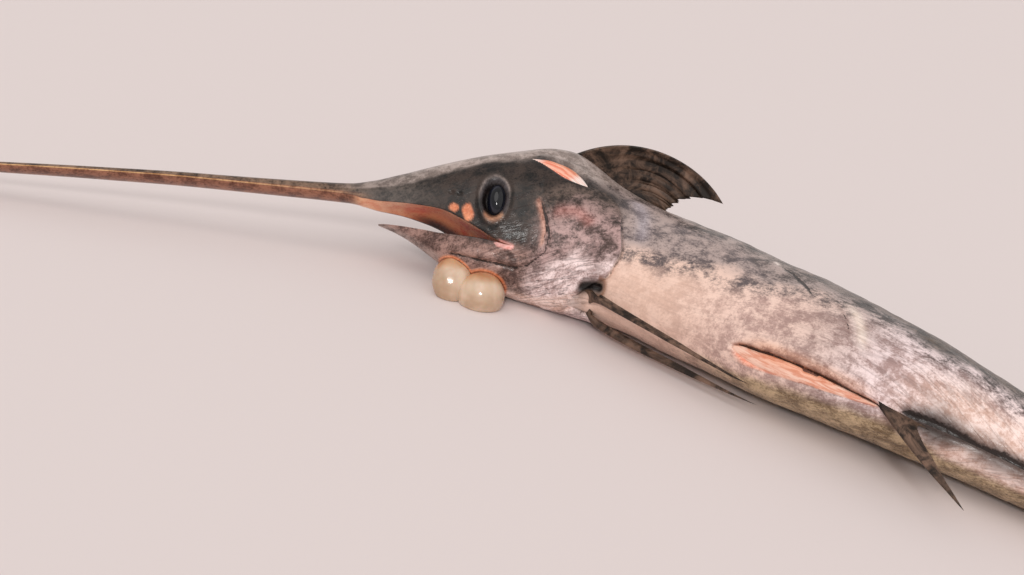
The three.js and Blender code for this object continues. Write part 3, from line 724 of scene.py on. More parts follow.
# Soft marks on the left side: line, half width, how much of it the tapered ends take, strength and tones
MARKS = [
    (GILL_BLUSH, 10, 0, 0.7, BLUSH),
    (CHEEK_STRIPE, 4, 0.1, 0.95, STRIPE),
    (PALE_STREAK, 7, 0.3, 0.9, STREAK),
    (SCRATCH_FLECK, 3, 0, 1, CLEAN_FLESH),
    (STREAK_SHADOW, 3, 0.3, 0.5, STREAK_SHADE),
]

# The stage: floor and background tints, and far lights with direction, width, strength and tint
FLOOR_TINT = (0.76, 0.68, 0.67, 1)
FLOOR_REACH = 200
BACKGROUND_TINT = (1.0, 0.965, 0.95, 1)
BACKGROUND_STRENGTH = 0.6
SUNS = [
    ("key_light", (-0.55, -0.75, 1.5), 0.8, 0.7, (1.0, 0.96, 0.92)),
    ("fill_light", (1.2, -0.6, 1.4), 1.2, 0.3, (1.0, 0.97, 0.95)),
    ("front_light", (-0.1, -1.0, 0.62), 0.17, 0.8, (1.0, 0.98, 0.96)),
]


class Paint:
    """A dark and a light colour at every vertex, laid over one another layer by layer."""

    def __init__(self, count, tones):
        self.dark = np.tile(tones[0], (count, 1)).astype(float)
        self.light = np.tile(tones[1], (count, 1)).astype(float)

    def layer(self, amount, tones, ahead=None):
        """Mixes in both tones by an amount from 0 to 1. The light one may have an amount of its own."""
        share = np.clip(amount, 0, 1)[:, None]
        early = share if ahead is None else np.clip(ahead, 0, 1)[:, None]
        self.dark = self.dark * (1 - share) + tones[0] * share
        self.light = self.light * (1 - early) + tones[1] * early

    def store(self, piece):
        """Puts both colours on the piece's vertices."""
        set_colour(piece, "tone_dark", self.dark)
        set_colour(piece, "tone_light", self.light)


# Station, with the angle where the pale crown, painted highlight on the top of the head, ends
CROWN_EDGE = np.array([
    [-0.02, 70],
    [0.05, 62],
    [0.1, 50],
    [0.15, 43],
    [0.18, 47],
    [0.205, 55],
    [0.23, 61],
    [0.27, 54],
])

# Station, with the angles where the back's tone ends and where the belly's pale tone begins
BACK_EDGE = np.array([
    [0.28, 62],
    [0.4, 80],
    [0.5, 98],
    [0.6, 114],
    [0.7, 124],
    [0.85, 122],
    [1, 116],
])
BELLY_EDGE = np.array([
    [0.28, 141],
    [0.315, 141],
    [0.35, 133],
    [0.406, 128],
    [0.45, 120],
    [0.5, 110],
    [1, 110],
])

# Stations between which the middle's tones give way to the rear's, the pale belly ends, and the rear
# belly and the olive painted shade on the right side, which faces the floor, begin
REAR_START, BELLY_END, REAR_BELLY_START = (0.47, 0.6), (0.36, 0.47), (0.58, 0.66)
UNDERSIDE_SHADE_START, UNDERSIDE_SHADE_RISE = (0.36, 0.5), (0.6, 0.68)


def paint_trunk(paint, s, folded, left, ripple):
    """Dark back, grey upper side and pale belly, blotchier and greyer towards the tail. On the right side,
    which faces the floor, shade is painted: an olive tone that begins just past the middle of the belly,
    and the back's dark tone further round."""
    rear, front = ease(*REAR_START, s), 1 - ease(*BELLY_END, s)
    rear_belly = ease(*REAR_BELLY_START, s)
    ragged = folded + 7 * ripple

    def edge(place, soft, lead):
        """How far past an edge a place is, for the dark tone, and for the light one, which leads it."""
        return ease(-soft, soft, ragged - place), ease(-soft, soft, ragged - place + lead)

    paint.layer(rear, REAR_BACK)
    dark, light = edge(np.interp(s, *BACK_EDGE.T), soft=14, lead=16)
    paint.layer(dark * (1 - rear), UPPER_SIDE, light * (1 - rear))
    paint.layer(dark * rear, REAR_FLANK, light * rear)
    dark, light = edge(np.interp(s, *BELLY_EDGE.T), soft=9, lead=16)
    paint.layer(dark * (1 - rear), MIDDLE_FLANK, light * (1 - rear))
    paint.layer(dark * front, BELLY, light * front)
    dark, light = edge(146 - 12 * rear, soft=14, lead=10)
    paint.layer(dark * rear_belly, REAR_BELLY, light * rear_belly)

    # Painted shade on the right side, which faces the floor: olive past the belly, then the back's dark
    # tone
    nowhere, olive, back = -40, (6, 20), (70, 100)
    past_belly = np.where(left, nowhere, 180 - folded) + 4 * ripple - 16 * ease(*UNDERSIDE_SHADE_RISE, s)
    paint.layer(ease(*olive, past_belly) * ease(*UNDERSIDE_SHADE_START, s), UNDERSIDE_SHADE)
    paint.layer(ease(*back, past_belly), REAR_BACK)


def paint_head(paint, s, folded, ripple):
    """Charcoal sides under a pale crown of painted highlight, a mottled gill cover, a purple-grey jaw."""
    side, nape, low_end, high_end = (60, 75), (0.25, 0.3), (0.255, 0.3), (0.2, 0.3)
    low = ease(*side, folded)
    paint.layer(1 - ease(*low_end, s) * low - ease(*high_end, s) * (1 - low), HEAD_SIDE)
    crown_edge = smooth_curve(CROWN_EDGE, 1, s)
    crown = ease(-5, 5, crown_edge - folded + 4 * ripple) * (1 - ease(*nape, s))
    # The pale crown is painted highlight where light falls on the top of the head
    paint.layer(crown, CROWN_HIGHLIGHT)
    snout_start, snout_end = (-0.06, 0.0), (0.05, 0.1)
    snout = (1 - ease(*snout_end, s)) * ease(*snout_start, s)
    paint.layer(snout * (0.7 - 0.3 * crown), SNOUT)

    front, start, top = (-0.3, 0.12), (0.16, 0.19), (60, 72)
    share, past = gill_share(s, folded)
    cover = ease(*front, share) * (past < ON_COVER) * ease(*start, s) * ease(*top, folded)
    ragged = folded + 8 * ripple
    upper, middle, middle_lead, lower = (70, 80), (94, 116), (84, 106), (126, 146)
    paint.layer(cover * ease(*upper, ragged), GILL_TOP)
    paint.layer(cover * ease(*middle, ragged), GILL_MIDDLE, cover * ease(*middle_lead, ragged))
    paint.layer(cover * ease(*lower, ragged), GILL_LOW)

    jaw_top, jaw_start, jaw_end, jaw_under = (116, 128), (0.012, 0.02), (0.172, 0.2), (152, 168)
    jaw = ease(*jaw_top, folded) * (1 - ease(*jaw_end, s)) * ease(*jaw_start, s)
    paint.layer(jaw, JAW)
    paint.layer(jaw * ease(*jaw_under, folded), JAW_UNDER)
    breast, breast_start, breast_end = (162, 172), (0.1, 0.14), (0.24, 0.3)
    paint.layer(ease(*breast, folded) * ease(*breast_start, s) * (1 - ease(*breast_end, s)), REAR_BELLY)


def blot(distance, size, solid=0.6, gone=1.1):
    """A patch with a soft edge: 1 up to a share of its size, and 0 past another."""
    return 1 - ease(solid, gone, np.abs(distance) / size)


def paint_soft_marks(paint, x, y, left):
    """A blush on the gill cover and a stripe before it, a pale streak and its shade, a white fleck."""
    for line, width, ends, strength, tones in MARKS:
        distance, share = line_distance(x, y, line)
        fade = taper(share, ends) if ends else 1
        paint.layer(left * bell(distance, width) * fade * strength, tones)


def paint_bare_marks(paint, x, y, left):
    """Pink flesh in the corner of the mouth, and the bare patches before the eye."""
    half, shape, gone = 6, (0.4, 1.0), 1.05
    corner, share = line_distance(x, y, CORNER_FLESH)
    paint.layer(left * blot(corner, gape(share, half, shape), gone=gone), MOUTH_CORNER_FLESH)
    for line, size in BARE_PATCHES:
        paint.layer(left * blot(line_distance(x, y, line)[0], size), BARE_FLESH)


def paint_openings(paint, x, y, left, ripple):
    """Painted shadow in the slit behind the head, brown and pale lips along the belly's cut, and painted
    shadow along the groove with a reddish line beside it."""
    slit_width, brow_place, brow_width, upper_width, lower_width = 12, 8, 8, 4.5, 6
    slit, share = line_distance(x, y, UPPER_SLIT)
    paint.layer(bell(slit, slit_width) * taper(share, 0.1), SHADOW)
    cut, share = line_distance(x, y, BELLY_CUT)
    half = CUT_HALF * lens(share, *CUT_SHAPE)
    brow, upper_lip, lower_lip = cut + half + brow_place, cut + half, cut - half
    paint.layer(left * bell(brow, brow_width) * taper(share, 0.2) * 0.55, CUT_BROW)
    paint.layer(left * bell(upper_lip, upper_width) * taper(share, 0.05), CUT_LIP_TINT)
    paint.layer(left * bell(lower_lip, lower_width) * taper(share, 0.1), PALE_FLESH)

    start, red_start, red_place, red_width = (0, 0.04), (0.05, 0.2), 16, 5
    groove, share = line_distance(x, y, VENTRAL_GROOVE)
    groove_width = 12 + 8 * ripple
    # Painted shadow along the groove behind the vent
    paint.layer(bell(groove, groove_width) * ease(*start, share) * (1 - 0.4 * share), SHADOW)
    paint.layer(bell(groove - red_place, red_width) * ease(*red_start, share) * 0.4, BARE_FLESH)


def paint_shoulder(paint, s, x, y, folded, left):
    """A lilac patch behind the gill cover, and painted shadow in the fin's pit with a brown rim."""
    patch_width, pit_width = 11, 11
    rim_place, rim_width, rim_start = 14, 4, 0.3
    past = gill_share(s, folded)[1]
    patch = line_distance(x, y, SHOULDER_PATCH)[0]
    paint.layer(left * bell(patch, patch_width) * (past > ON_COVER), SHOULDER)
    pit = line_distance(x, y, FIN_PIT)[0]
    paint.layer(left * bell(np.abs(pit) - rim_place, rim_width) * (s > rim_start) * 0.8, PIT_RIM)
    # Painted shadow in the fin's pit
    paint.layer(left * bell(pit, pit_width) * 1.3, SHADOW)


def paint_eye_rim(paint, s, angle):
    """A dark socket with painted shadow in its hollow, a faint pale ring over it in the tones of the
    crown's painted highlight, and a tan lid under the eye.
    """
    ring = eye_ring(s, angle)
    ring_place, ring_width, lid_place, lid_width = 0.98, 0.08, 0.88, 0.11
    socket, hollow, upper, lower = (0.9, 0.98), (0.7, 0.8), (0.2, -0.5), (0.62, 0.86)
    down = EYE_HEIGHT * MM - side_height(s, angle)
    below = down / (ORBIT[1] * MM * np.maximum(ring, 0.3))
    # A faint pale ring over the eye, in the crown's painted highlight tones
    paint.layer(bell(ring - ring_place, ring_width) * ease(*upper, below) * 0.45, CROWN_HIGHLIGHT)
    paint.layer(1 - ease(*socket, ring), SOCKET)
    # Painted shadow deep in the socket's hollow
    paint.layer(1 - ease(*hollow, ring), SHADOW)
    paint.layer(bell(ring - lid_place, lid_width) * ease(*lower, below), EYE_LID)


def paint_throat_rim(paint, s, angle):
    """A narrow rim of flesh round the throat's lobes, and shadow where the skin runs in under them."""
    torn, inner, last_station = (0.2, 0.07), (0.08, -0.02), 0.19
    rim = throat_ring(s, angle)
    paint.layer(ease(*torn, rim) * (s < last_station), BARE_FLESH)
    paint.layer(ease(*inner, rim), SHADOW)


def paint_bill(paint, s, folded):
    """Grey on top, a bright line along both edges, red-brown underneath."""
    root, upper, under = (-0.03, 0.03), (80, 88), (99, 108)
    edge_angle, edge_width, edge_end = 94, 5, (-0.16, -0.04)
    bill = 1 - ease(*root, s)
    paint.layer(bill, BILL_TOP)
    paint.layer(bill * ease(*upper, folded), BILL_UNDER)
    paint.layer(bill * bell(folded - edge_angle, edge_width) * (1 - 0.6 * ease(*edge_end, s)), BILL_EDGE)
    paint.layer(bill * ease(*under, folded), BILL_UNDER)


def paint_skin(s, angle, x, y):
    """The skin's dark and light tones from its station, its angle and its place on the chart."""
    folded, left = fold(angle), angle <= 180
    ripple = wander(x, y, 40 * left, size=90, seed=11)
    paint = Paint(len(s), BACK)
    paint_trunk(paint, s, folded, left, ripple)
    paint_head(paint, s, folded, ripple)
    paint_bill(paint, s, folded)
    paint_soft_marks(paint, x, y, left)
    paint_bare_marks(paint, x, y, left)
    paint_shoulder(paint, s, x, y, folded, left)
    paint_openings(paint, x, y, left, ripple)
    paint_eye_rim(paint, s, angle)
    paint_throat_rim(paint, s, angle)
    return paint


def link_object(name, vertices, faces, smooth=True):
    """A mesh object at the origin from an array of points and a list of faces."""
    mesh = bpy.data.meshes.new(name)
    mesh.from_pydata(vertices.tolist(), [], faces)
    mesh.update()
    if smooth:
        mesh.shade_smooth()
    piece = bpy.data.objects.new(name, mesh)
    bpy.context.scene.collection.objects.link(piece)
    return piece


def set_colour(piece, name, values):
    """A colour at every vertex."""
    attribute = piece.data.color_attributes.new(name, "FLOAT_COLOR", "POINT")
    full = np.concatenate([values, np.ones((len(values), 1))], 1).astype(np.float32)
    attribute.data.foreach_set("color", full.ravel())


def set_vector(piece, name, values):
    """A vector at every vertex."""
    attribute = piece.data.attributes.new(name, "FLOAT_VECTOR", "POINT")
    attribute.data.foreach_set("vector", values.astype(np.float32).ravel())


def grid_faces(rows, columns, start=0, turned=False):
    """The four-cornered faces of a grid of vertices stored row by row."""
    i, j = np.meshgrid(np.arange(rows - 1), np.arange(columns - 1), indexing="ij")
    a = start + i * columns + j
    corners = [a, a + 1, a + columns + 1, a + columns]
    if turned:
        corners = corners[::-1]
    return np.stack(corners, -1).reshape(-1, 4)


def weld(vertices, faces):
    """One vertex for all that share a place. Faces that close up to three corners become triangles, and
    those that close up further are left out."""
    keys = np.round(vertices * WELD_GRID).astype(np.int64)
    first, inverse = np.unique(keys, axis=0, return_index=True, return_inverse=True)[1:]
    joined = inverse.ravel()[faces]
    repeats = joined == np.roll(joined, 1, axis=1)
    crossed = (joined[:, 0] == joined[:, 2]) | (joined[:, 1] == joined[:, 3])
    whole = joined[(repeats.sum(1) == 0) & ~crossed]
    closed = (repeats.sum(1) == 1) & ~crossed
    triangles = joined[closed][~repeats[closed]].reshape(-1, 3)
    return first, whole.tolist() + triangles.tolist()


def close_and_turn(piece):
    """The open ends are filled, and the faces are all turned outwards."""
    work = bmesh.new()
    work.from_mesh(piece.data)
    open_edges = [edge for edge in work.edges if edge.is_boundary]
    bmesh.ops.holes_fill(work, edges=open_edges, sides=0)
    bmesh.ops.recalc_face_normals(work, faces=work.faces)
    work.to_mesh(piece.data)
    work.free()
    piece.data.shade_smooth()


def welded_piece(name, points, faces):
    """A closed piece that keeps off the floor, its doubled points welded, and which points it keeps."""
    points[:, 2] = np.maximum(points[:, 2], LOWEST)
    kept, clean = weld(points, faces)
    piece = link_object(name, points[kept], clean)
    close_and_turn(piece)
    return piece, kept


def slab_piece(name, sides):
    """A closed piece from two grids of points laid back to back, with a rim of faces round them."""
    rows, columns = sides[0].shape[:2]
    count = rows * columns
    faces = [grid_faces(rows, columns, 0), grid_faces(rows, columns, count, True)]
    index = np.arange(count).reshape(rows, columns)
    rim = np.concatenate([index[:, 0], index[-1, 1:], index[-2::-1, -1], index[0, -2:0:-1]])
    following = np.roll(rim, -1)
    faces.append(np.stack([following, rim, rim + count, following + count], -1))
    points = np.concatenate([side.reshape(-1, 3) for side in sides])
    points[:, 2] = np.maximum(points[:, 2], LOWEST)
    piece = link_object(name, points, np.concatenate(faces).tolist())
    close_and_turn(piece)
    return piece


def dress(piece, slot, *nodes):
    """The piece rides on the one body and stands for its nodes, which are hidden. The slot is not used."""
    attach(piece, "root")
    if nodes:
        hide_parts(*nodes)


# The skin and the mouth


BILL_JOIN, CORNER_JOIN = -0.08, 0.012


def lip_angle(s):
    """The angle of the upper lip, from the bill's edge to behind the corner of the mouth."""
    held = np.clip(s, MOUTH_FRONT, MOUTH_CORNER)
    height = smooth_curve(MOUTH_LINE, 1, held) * BODY - bow_height(held)
    tall = np.where(height > 0, back_height(held), belly_depth(held))
    angle = np.degrees(np.arccos(np.clip(height / tall, -1, 1)))
    return BILL_EDGE_ANGLE + (angle - BILL_EDGE_ANGLE) * ease(BILL_JOIN, MOUTH_FRONT, s)


def jaw_angle(s):
    """The angle of the jaw's upper edge, which meets the lip at the corner of the mouth."""
    held = np.minimum(s, MOUTH_CORNER)
    height = smooth_curve(MOUTH_LINE, 2, held) * BODY - bow_height(held)
    angle = np.degrees(np.arccos(np.clip(height / belly_depth(held), -1, 1)))
    return angle + (lip_angle(held) - angle) * ease(MOUTH_CORNER - CORNER_JOIN, MOUTH_CORNER, s)


# The skin's rows: first and last station, how many there are, and whether the last is one of them
STATION_RUNS = [
    (BILL_TIP + 0.0001, -0.01, 70, False),
    (-0.01, MOUTH_CORNER, 118, False),
    (MOUTH_CORNER, GILL_ROW, 90, True),
    (GILL_ROW + GILL_GAP, 0.36, 46, False),
    (0.36, 0.7, 120, False),
    (0.7, 0.999, 84, True),
]


def station_list():
    """Stations close together on the head and wider apart on the bill and the trunk, with a narrow step
    at the gill cover's rear edge."""
    runs = [np.linspace(start, end, count, endpoint=last) for start, end, count, last in STATION_RUNS]
    return np.concatenate(runs)


def warped(s, folded):
    """Stations drawn towards the gill cover's rear edge, so that a row of the grid runs along it. The
    shift is whole at the edge's own row and fades out before and behind it."""
    top = (40, 62)
    shift = (smooth_curve(GILL_LINE, 2, folded) - GILL_ROW) * ease(*top, folded)
    before = ease(GILL_SPAN[0], GILL_ROW, s)
    behind = 1 - ease(GILL_ROW + GILL_GAP, GILL_SPAN[1], s)
    return s + shift * np.where(s <= GILL_ROW, before, behind)


def skin_patch(stations, angles):
    """A patch of outer skin: points lifted by the relief, each with its station, angle and chart place."""
    around = np.mod(angles, 360)
    s = warped(np.broadcast_to(stations[:, None], angles.shape), fold(around))
    x = chart_x(s)
    y = arc_length(s, around)
    points = skin_point(s, around, relief(s, around, x, y))
    marks = np.stack([s, around, x, y, np.full(s.shape, OUTSIDE)], -1)
    return points, marks


# The mouth's own chart: the middle and the half width across
MOUTH_MIDDLE, MOUTH_HALF = 200, 40


def mouth_patch(stations, edges, kind, bulge):
    """A patch across the mouth between its left and right edges, bulged in the fish's own directions."""
    left_edge = skin_patch(stations, edges[:, None])[0]
    right_edge = skin_patch(stations, 360 - edges[:, None])[0]
    w = np.broadcast_to(np.linspace(1, -1, INNER_COLUMNS)[None, :], (len(stations), INNER_COLUMNS))
    s = np.broadcast_to(stations[:, None], w.shape)
    dorsal, left = axes_at(s)[1:]
    up, aside = bulge(s, w, edges[:, None])
    flat = left_edge * (1 + w[..., None]) / 2 + right_edge * (1 - w[..., None]) / 2
    points = flat + dorsal * up[..., None] + left * aside[..., None]
    belly, kinds = np.full(s.shape, 180.0), np.full(s.shape, kind)
    marks = np.stack([s, belly, chart_x(s), MOUTH_MIDDLE + MOUTH_HALF * w, kinds], -1)
    return points, marks


def roof_bulge(s, w, edge):
    """On the bill the half ellipse of its underside, in the mouth a shallow arch."""
    bill_end, arch_start, arch_end, arch_loss = (0.002, 0.02), (0.02, 0.1), (0.14, MOUTH_CORNER), 0.7
    held = np.minimum(s, 0)
    around = np.radians(180 - w * (180 - edge))
    rim = np.radians(edge)
    fade = 1 - ease(*bill_end, s)
    up = belly_depth(held) * (np.cos(around) - np.cos(rim)) * fade
    aside = half_width(s) * (np.sin(around) - w * np.sin(rim)) * fade
    arch = PALATE_ARCH * ease(*arch_start, s) * (1 - w * w) * (1 - arch_loss * ease(*arch_end, s))
    return up + arch, aside


def floor_bulge(s, w, edge):
    """The bed of the jaw sags a little between its edges."""
    start = (0.05, 0.11)
    return -JAW_SAG * ease(*start, s) * (1 - w * w), np.zeros(s.shape)


def make_skin():
    """The whole skin as one closed mesh: back and sides, jaw and belly, the roof and the floor of the
    mouth. The upper patch runs over the back between both lips, the lower one round the belly between
    both edges of the jaw, and the inner ones cross the mouth. Their shared edges are welded."""
    stations = station_list()
    right = np.linspace(-1, 0, UPPER_COLUMNS[1], endpoint=False)
    across = np.concatenate([right, np.linspace(0, 1, UPPER_COLUMNS[0])])
    upper = skin_patch(stations, lip_angle(stations)[:, None] * across[None, :])

    jaw_start = np.nonzero((jaw_angle(stations) < JAW_CLOSED) & (stations > MOUTH_FRONT))[0][0]
    corner = int(np.searchsorted(stations, MOUTH_CORNER - TINY))

    def jaw_edge(s):
        """The edge of the jaw, and of the lip behind the corner of the mouth."""
        return np.where(s < MOUTH_CORNER, jaw_angle(s), lip_angle(s))

    edge = jaw_edge(stations[jaw_start:])
    left = np.linspace(0, 0.5, LOWER_COLUMNS[0], endpoint=False)
    round_belly = np.concatenate([left, np.linspace(0.5, 1, LOWER_COLUMNS[1])])
    lower_angles = edge[:, None] + (360 - 2 * edge[:, None]) * round_belly[None, :]
    lower = skin_patch(stations[jaw_start:], lower_angles)

    roof_stations, bed_stations = stations[:corner + 1], stations[jaw_start:corner + 1]
    roof = mouth_patch(roof_stations, lip_angle(roof_stations), ROOF, roof_bulge)
    bed = mouth_patch(bed_stations, jaw_edge(bed_stations), BED, floor_bulge)
    wall = (np.stack([roof[0][-1], bed[0][-1]]), np.stack([bed[1][-1], bed[1][-1]]))

    vertices, marks, faces = [], [], []
    start = 0
    for patch, turned in ((upper, False), (lower, False), (roof, False), (bed, True), (wall, True)):
        rows, columns = patch[0].shape[:2]
        vertices.append(patch[0].reshape(-1, 3))
        marks.append(patch[1].reshape(rows * columns, -1))
        faces.append(grid_faces(rows, columns, start, turned))
        start += rows * columns
    piece, kept = welded_piece("skin", np.concatenate(vertices), np.concatenate(faces))
    paint_and_mark(piece, np.concatenate(marks)[kept])
    give_material(piece, "wet_skin", wet_skin)
    dress(
        piece, "skin_back", "bill", "head", "lower_jaw", "trunk_front", "trunk_middle", "trunk_rear",
        "tail_stem_front", "tail_stem", "gill_cover_left", "gill_cover_right", "keel_left", "keel_right",
    )


def paint_mouth(paint, s, rim, kind):
    """An orange roof that reddens inwards, with painted light along its near lip and painted shade on its
    far side, and a red-brown bed with painted shade in its middle.
    """
    front, lit_edge, red_start = (0, 0.015), (0.9, 0.45), (0.035, 0.08)
    far_side, dark_start, bed_edge = (-0.25, -0.8), (0.05, 0.085), (0.15, 0.6)
    roof = (kind == ROOF) * ease(*front, s)
    bed = (kind == BED) * 1.0
    paint.layer(roof, PALATE_FRONT_AND_LIT_LIP)
    # Painted light: the near lip keeps the light orange
    paint.layer(roof * ease(*lit_edge, rim) * ease(*red_start, s), PALATE_MIDDLE)
    # Painted shade on the far side of the roof
    paint.layer(roof * ease(*far_side, rim) * ease(*dark_start, s), MOUTH_SHADE)
    paint.layer(bed, BED_FLESH)
    # Painted shade in the middle of the bed
    paint.layer(bed * ease(*bed_edge, 1 - np.abs(rim)), MOUTH_SHADE)


# How far aside the right side's chart lies, so that its mottling isn't the left side's
RIGHT_CHART = 0.35


def paint_and_mark(piece, marks):
    """Stores the skin's tones, its flat chart, and how near a crease and how wrinkled every place is."""
    s, angle, x, y, kind = marks.T
    paint = paint_skin(s, angle, x, y)
    paint_mouth(paint, s, (y - MOUTH_MIDDLE) / MOUTH_HALF, kind)
    paint.store(piece)
    set_vector(piece, "chart", np.stack([x / MM, y / MM, np.where(angle <= 180, 0, RIGHT_CHART)], -1))
    outside = kind == OUTSIDE
    nearness = np.where(outside, crease_field(s, angle, x, y), CREASE_FAR)
    wrinkled = np.where(outside, wrinkle_field(s, angle), 0)
    set_vector(piece, "detail", np.stack([nearness, wrinkled, outside * 1.0], -1))


def crease_field(s, angle, x, y):
    """The distance from the nearest narrow crease as a share of that crease's half width. Faint creases
    count as a little further away."""
    folded, left = fold(angle), angle <= 180
    past = gill_share(s, folded)[1]
    width = GILL_CREASE * gill_fade(folded) + NO_WIDTH
    nearest = np.abs(past - GILL_CREASE_PLACE) / width + GILL_CREASE_FAINT
    for line, half, ends, shift in CREASES:
        distance, share = line_distance(x, y, line)
        aside = distance - shift * lens(share, *CUT_SHAPE)
        ratio = np.abs(aside) / (half * taper(share, ends) + NO_WIDTH)
        nearest = np.where(left, np.minimum(nearest, ratio), nearest)
    for line in GILL_WRINKLES:
        distance, share = line_distance(x, y, line)
        ratio = np.abs(distance) / (WRINKLE_HALF * taper(share, WRINKLE_ENDS) + NO_WIDTH) + WRINKLE_FAINT
        nearest = np.where(left, np.minimum(nearest, ratio), nearest)
    return np.minimum(nearest, CREASE_FAR)


# Where the skin is wrinkled: how much, stations where it begins and where it ends, angles where it begins
WRINKLED = [
    (1, (0.16, 0.2), (0.27, 0.32), (110, 140)),
    (0.45, (0.02, 0.05), (0.15, 0.19), (118, 130)),
    (0.35, (0.1, 0.15), (0.22, 0.27), (66, 80)),
]
TAIL_WRINKLED, TAIL_WRINKLES_START = 0.4, (0.45, 0.6)
WRINKLED_ALL_OVER = 0.18


def wrinkle_field(s, angle):
    """How wrinkled the skin is, from 0 to 1: most on the lower gill cover, the jaw and the breast."""
    folded = fold(angle)
    total = TAIL_WRINKLED * ease(*TAIL_WRINKLES_START, s) + WRINKLED_ALL_OVER
    for amount, start, end, low in WRINKLED:
        total = total + amount * ease(*start, s) * (1 - ease(*end, s)) * ease(*low, folded)
    return np.clip(total, 0, 1)


# Bare flesh in the slit behind the head and along the cut in the belly
FLESH_ROWS, FLESH_COLUMNS = 90, 13
FLESH_ENDS = (0.02, 0.98)
FLESH_SHIFT, FLESH_THICKNESS = 1.5, 0.005
FLESH_UNEVEN, FLESH_RIPPLES = 0.06, 0.0004
FLESH_FLAT, FLESH_BOW = 0.35, 0.65


def chart_rate(s, angle):
    """How far the chart runs on for one degree round the body, in millimetres."""
    return arc_length(s, angle + 0.5) - arc_length(s, angle - 0.5)


def smooth_run(knots, values, share):
    """Values along a line, as a gentle cubic through its knots."""
    return smooth_curve(np.stack([knots, values], -1), 1, share)


def make_flesh(name, line, half, shape, depth, tones):
    """A strip of flesh in a slit: a lens along the slit's line, its face bowed as the fourth power of the
    way to its sunk edges. Across the strip the places are the line's own, moved square to it on the
    chart. The tones are the middle's, the upper edge's and those of both ends."""
    table = np.array(line, float)
    share = np.linspace(*FLESH_ENDS, FLESH_ROWS)
    across = np.linspace(-1, 1, FLESH_COLUMNS)
    knots = np.linspace(0, 1, len(table))
    s_line, a_line = smooth_run(knots, table[:, 0], share), smooth_run(knots, table[:, 1], share)
    x, y = chart_x(s_line), arc_length(s_line, a_line)
    dx, dy = np.gradient(x), np.gradient(y)
    size = np.hypot(dx, dy)
    width = half * lens(share, *shape) * (1 + FLESH_UNEVEN * wander(x, y, 0, size=30, seed=41))
    out = width[:, None] * across[None, :]
    moved = FLESH_SHIFT + out
    s = s_line[:, None] - (dy / size)[:, None] * moved / (BODY * MM)
    angle = a_line[:, None] + (dx / size)[:, None] * moved / chart_rate(s_line, a_line)[:, None]
    bowed = depth * (FLESH_FLAT + FLESH_BOW * across[None, :] ** 4) * np.ones_like(s)
    ripples = wander(chart_x(s) / 4, across[None, :] * 9, 0, size=12, seed=43, octaves=2)
    face = skin_point(s, angle, -bowed + FLESH_RIPPLES * ripples)
    back = skin_point(s, angle, -bowed - FLESH_THICKNESS)
    piece = slab_piece(name, [face, back])

    side = np.tile(np.broadcast_to(across, s.shape).ravel(), 2)
    far = np.tile(np.broadcast_to(share[:, None], s.shape).ravel(), 2)
    upper_edge, first_end, last_end = (0.1, -0.8), (0.12, 0.3), (0.66, 0.78)
    paint = Paint(len(side), tones[0])
    paint.layer(ease(*upper_edge, side) * 0.7, tones[1])
    paint.layer(np.maximum(ease(*last_end, far), 1 - ease(*first_end, far)), tones[2])
    paint.store(piece)
    flat = np.stack([s * BODY, out / MM, np.zeros(s.shape)], -1).reshape(-1, 3)
    set_vector(piece, "chart", np.tile(flat, (2, 1)))
    give_material(piece, "raw_flesh", raw_flesh)
    dress(piece, "membrane")


# Fins


def arc_blade(root, station, lean, length, shortest, hollow, rise, bend):
    """Rays that leave a root line and bend as arcs in the fin's own plane, with u along the root and v
    out on a ray. The plane is the one at a station, leant over from the back; rise and bend are the first
    and last ray's own, in degrees."""
    along, dorsal, left = axes_at(np.array(station))
    outward = dorsal * np.cos(np.radians(lean)) + left * np.sin(np.radians(lean))

    def place(u, v, ray_scale):
        """The arc's chord: its radius times the differences of its ends' sines and cosines."""
        size = (length * (1 - u) ** hollow + shortest) * ray_scale
        start = np.radians(rise[0] + (rise[1] - rise[0]) * u)
        turn = np.radians(bend[0] + (bend[1] - bend[0]) * u)
        forward = size * (np.sin(start + turn * v) - np.sin(start)) / turn
        outwards = size * (np.cos(start) - np.cos(start + turn * v)) / turn
        return root(u) + forward[..., None] * along + outwards[..., None] * outward

    return place


def laid_blade(angle, root_spread, sweep, fan, lift):
    """Rays that lie back along the belly and stand off from it, with u and v as on the other fins."""
    out_of_skin, fan_power, lift_power = (0, 0.16), 0.8, 1.5

    def place(u, v, ray_scale):
        """The skin's own point at the ray's station and angle, lifted off along the section's normal."""
        reach = (PECTORAL_LENGTH * (1 - u) ** PECTORAL_HOLLOW + PECTORAL_SHORTEST) * ray_scale * v
        s = PECTORAL_START + (PECTORAL_ROOT * u + reach) / BODY
        turned = angle + root_spread * u * (1 - v) + sweep * (reach / PECTORAL_LENGTH)
        near = ease(*out_of_skin, v)
        clear = PECTORAL_CLEARANCE * near - PECTORAL_SINK * (1 - near)
        spread = fan * (1 - u) * np.sin(np.pi * v ** fan_power)
        return skin_point(s, turned, clear + spread + lift * (reach / PECTORAL_LENGTH) ** lift_power)

    return place


# The blades: columns to a ray, how thin they run out, and how much they billow
RAY_COLUMNS = 4
THINNING, THIN_END, THIN_EDGE = 0.6, 0.5, (0.93, 1)
BILLOW, BILLOW_ACROSS, BILLOW_OUT = 0.0012, 60, 160
NO_LENGTH = 1e-12


def ray_lengths(u, rays, ragged, random):
    """Every ray's length as a share of its plain one: uneven at the ends but for the first rays, and
    shorter between two rays by a cosine."""
    first_rays, notch_start = (-0.2, 0.25), (0.1, 0.4)
    shorter, longer, notch = -1, 0.6, 0.25
    ends = 1 + ragged * random.uniform(shorter, longer, rays + 1)
    far = ease(*first_rays, u)
    scale = np.interp(u * rays, np.arange(rays + 1), ends) * far + 1 - far
    return scale - ragged * notch * (1 - np.cos(2 * np.pi * u * rays)) * ease(*notch_start, u)


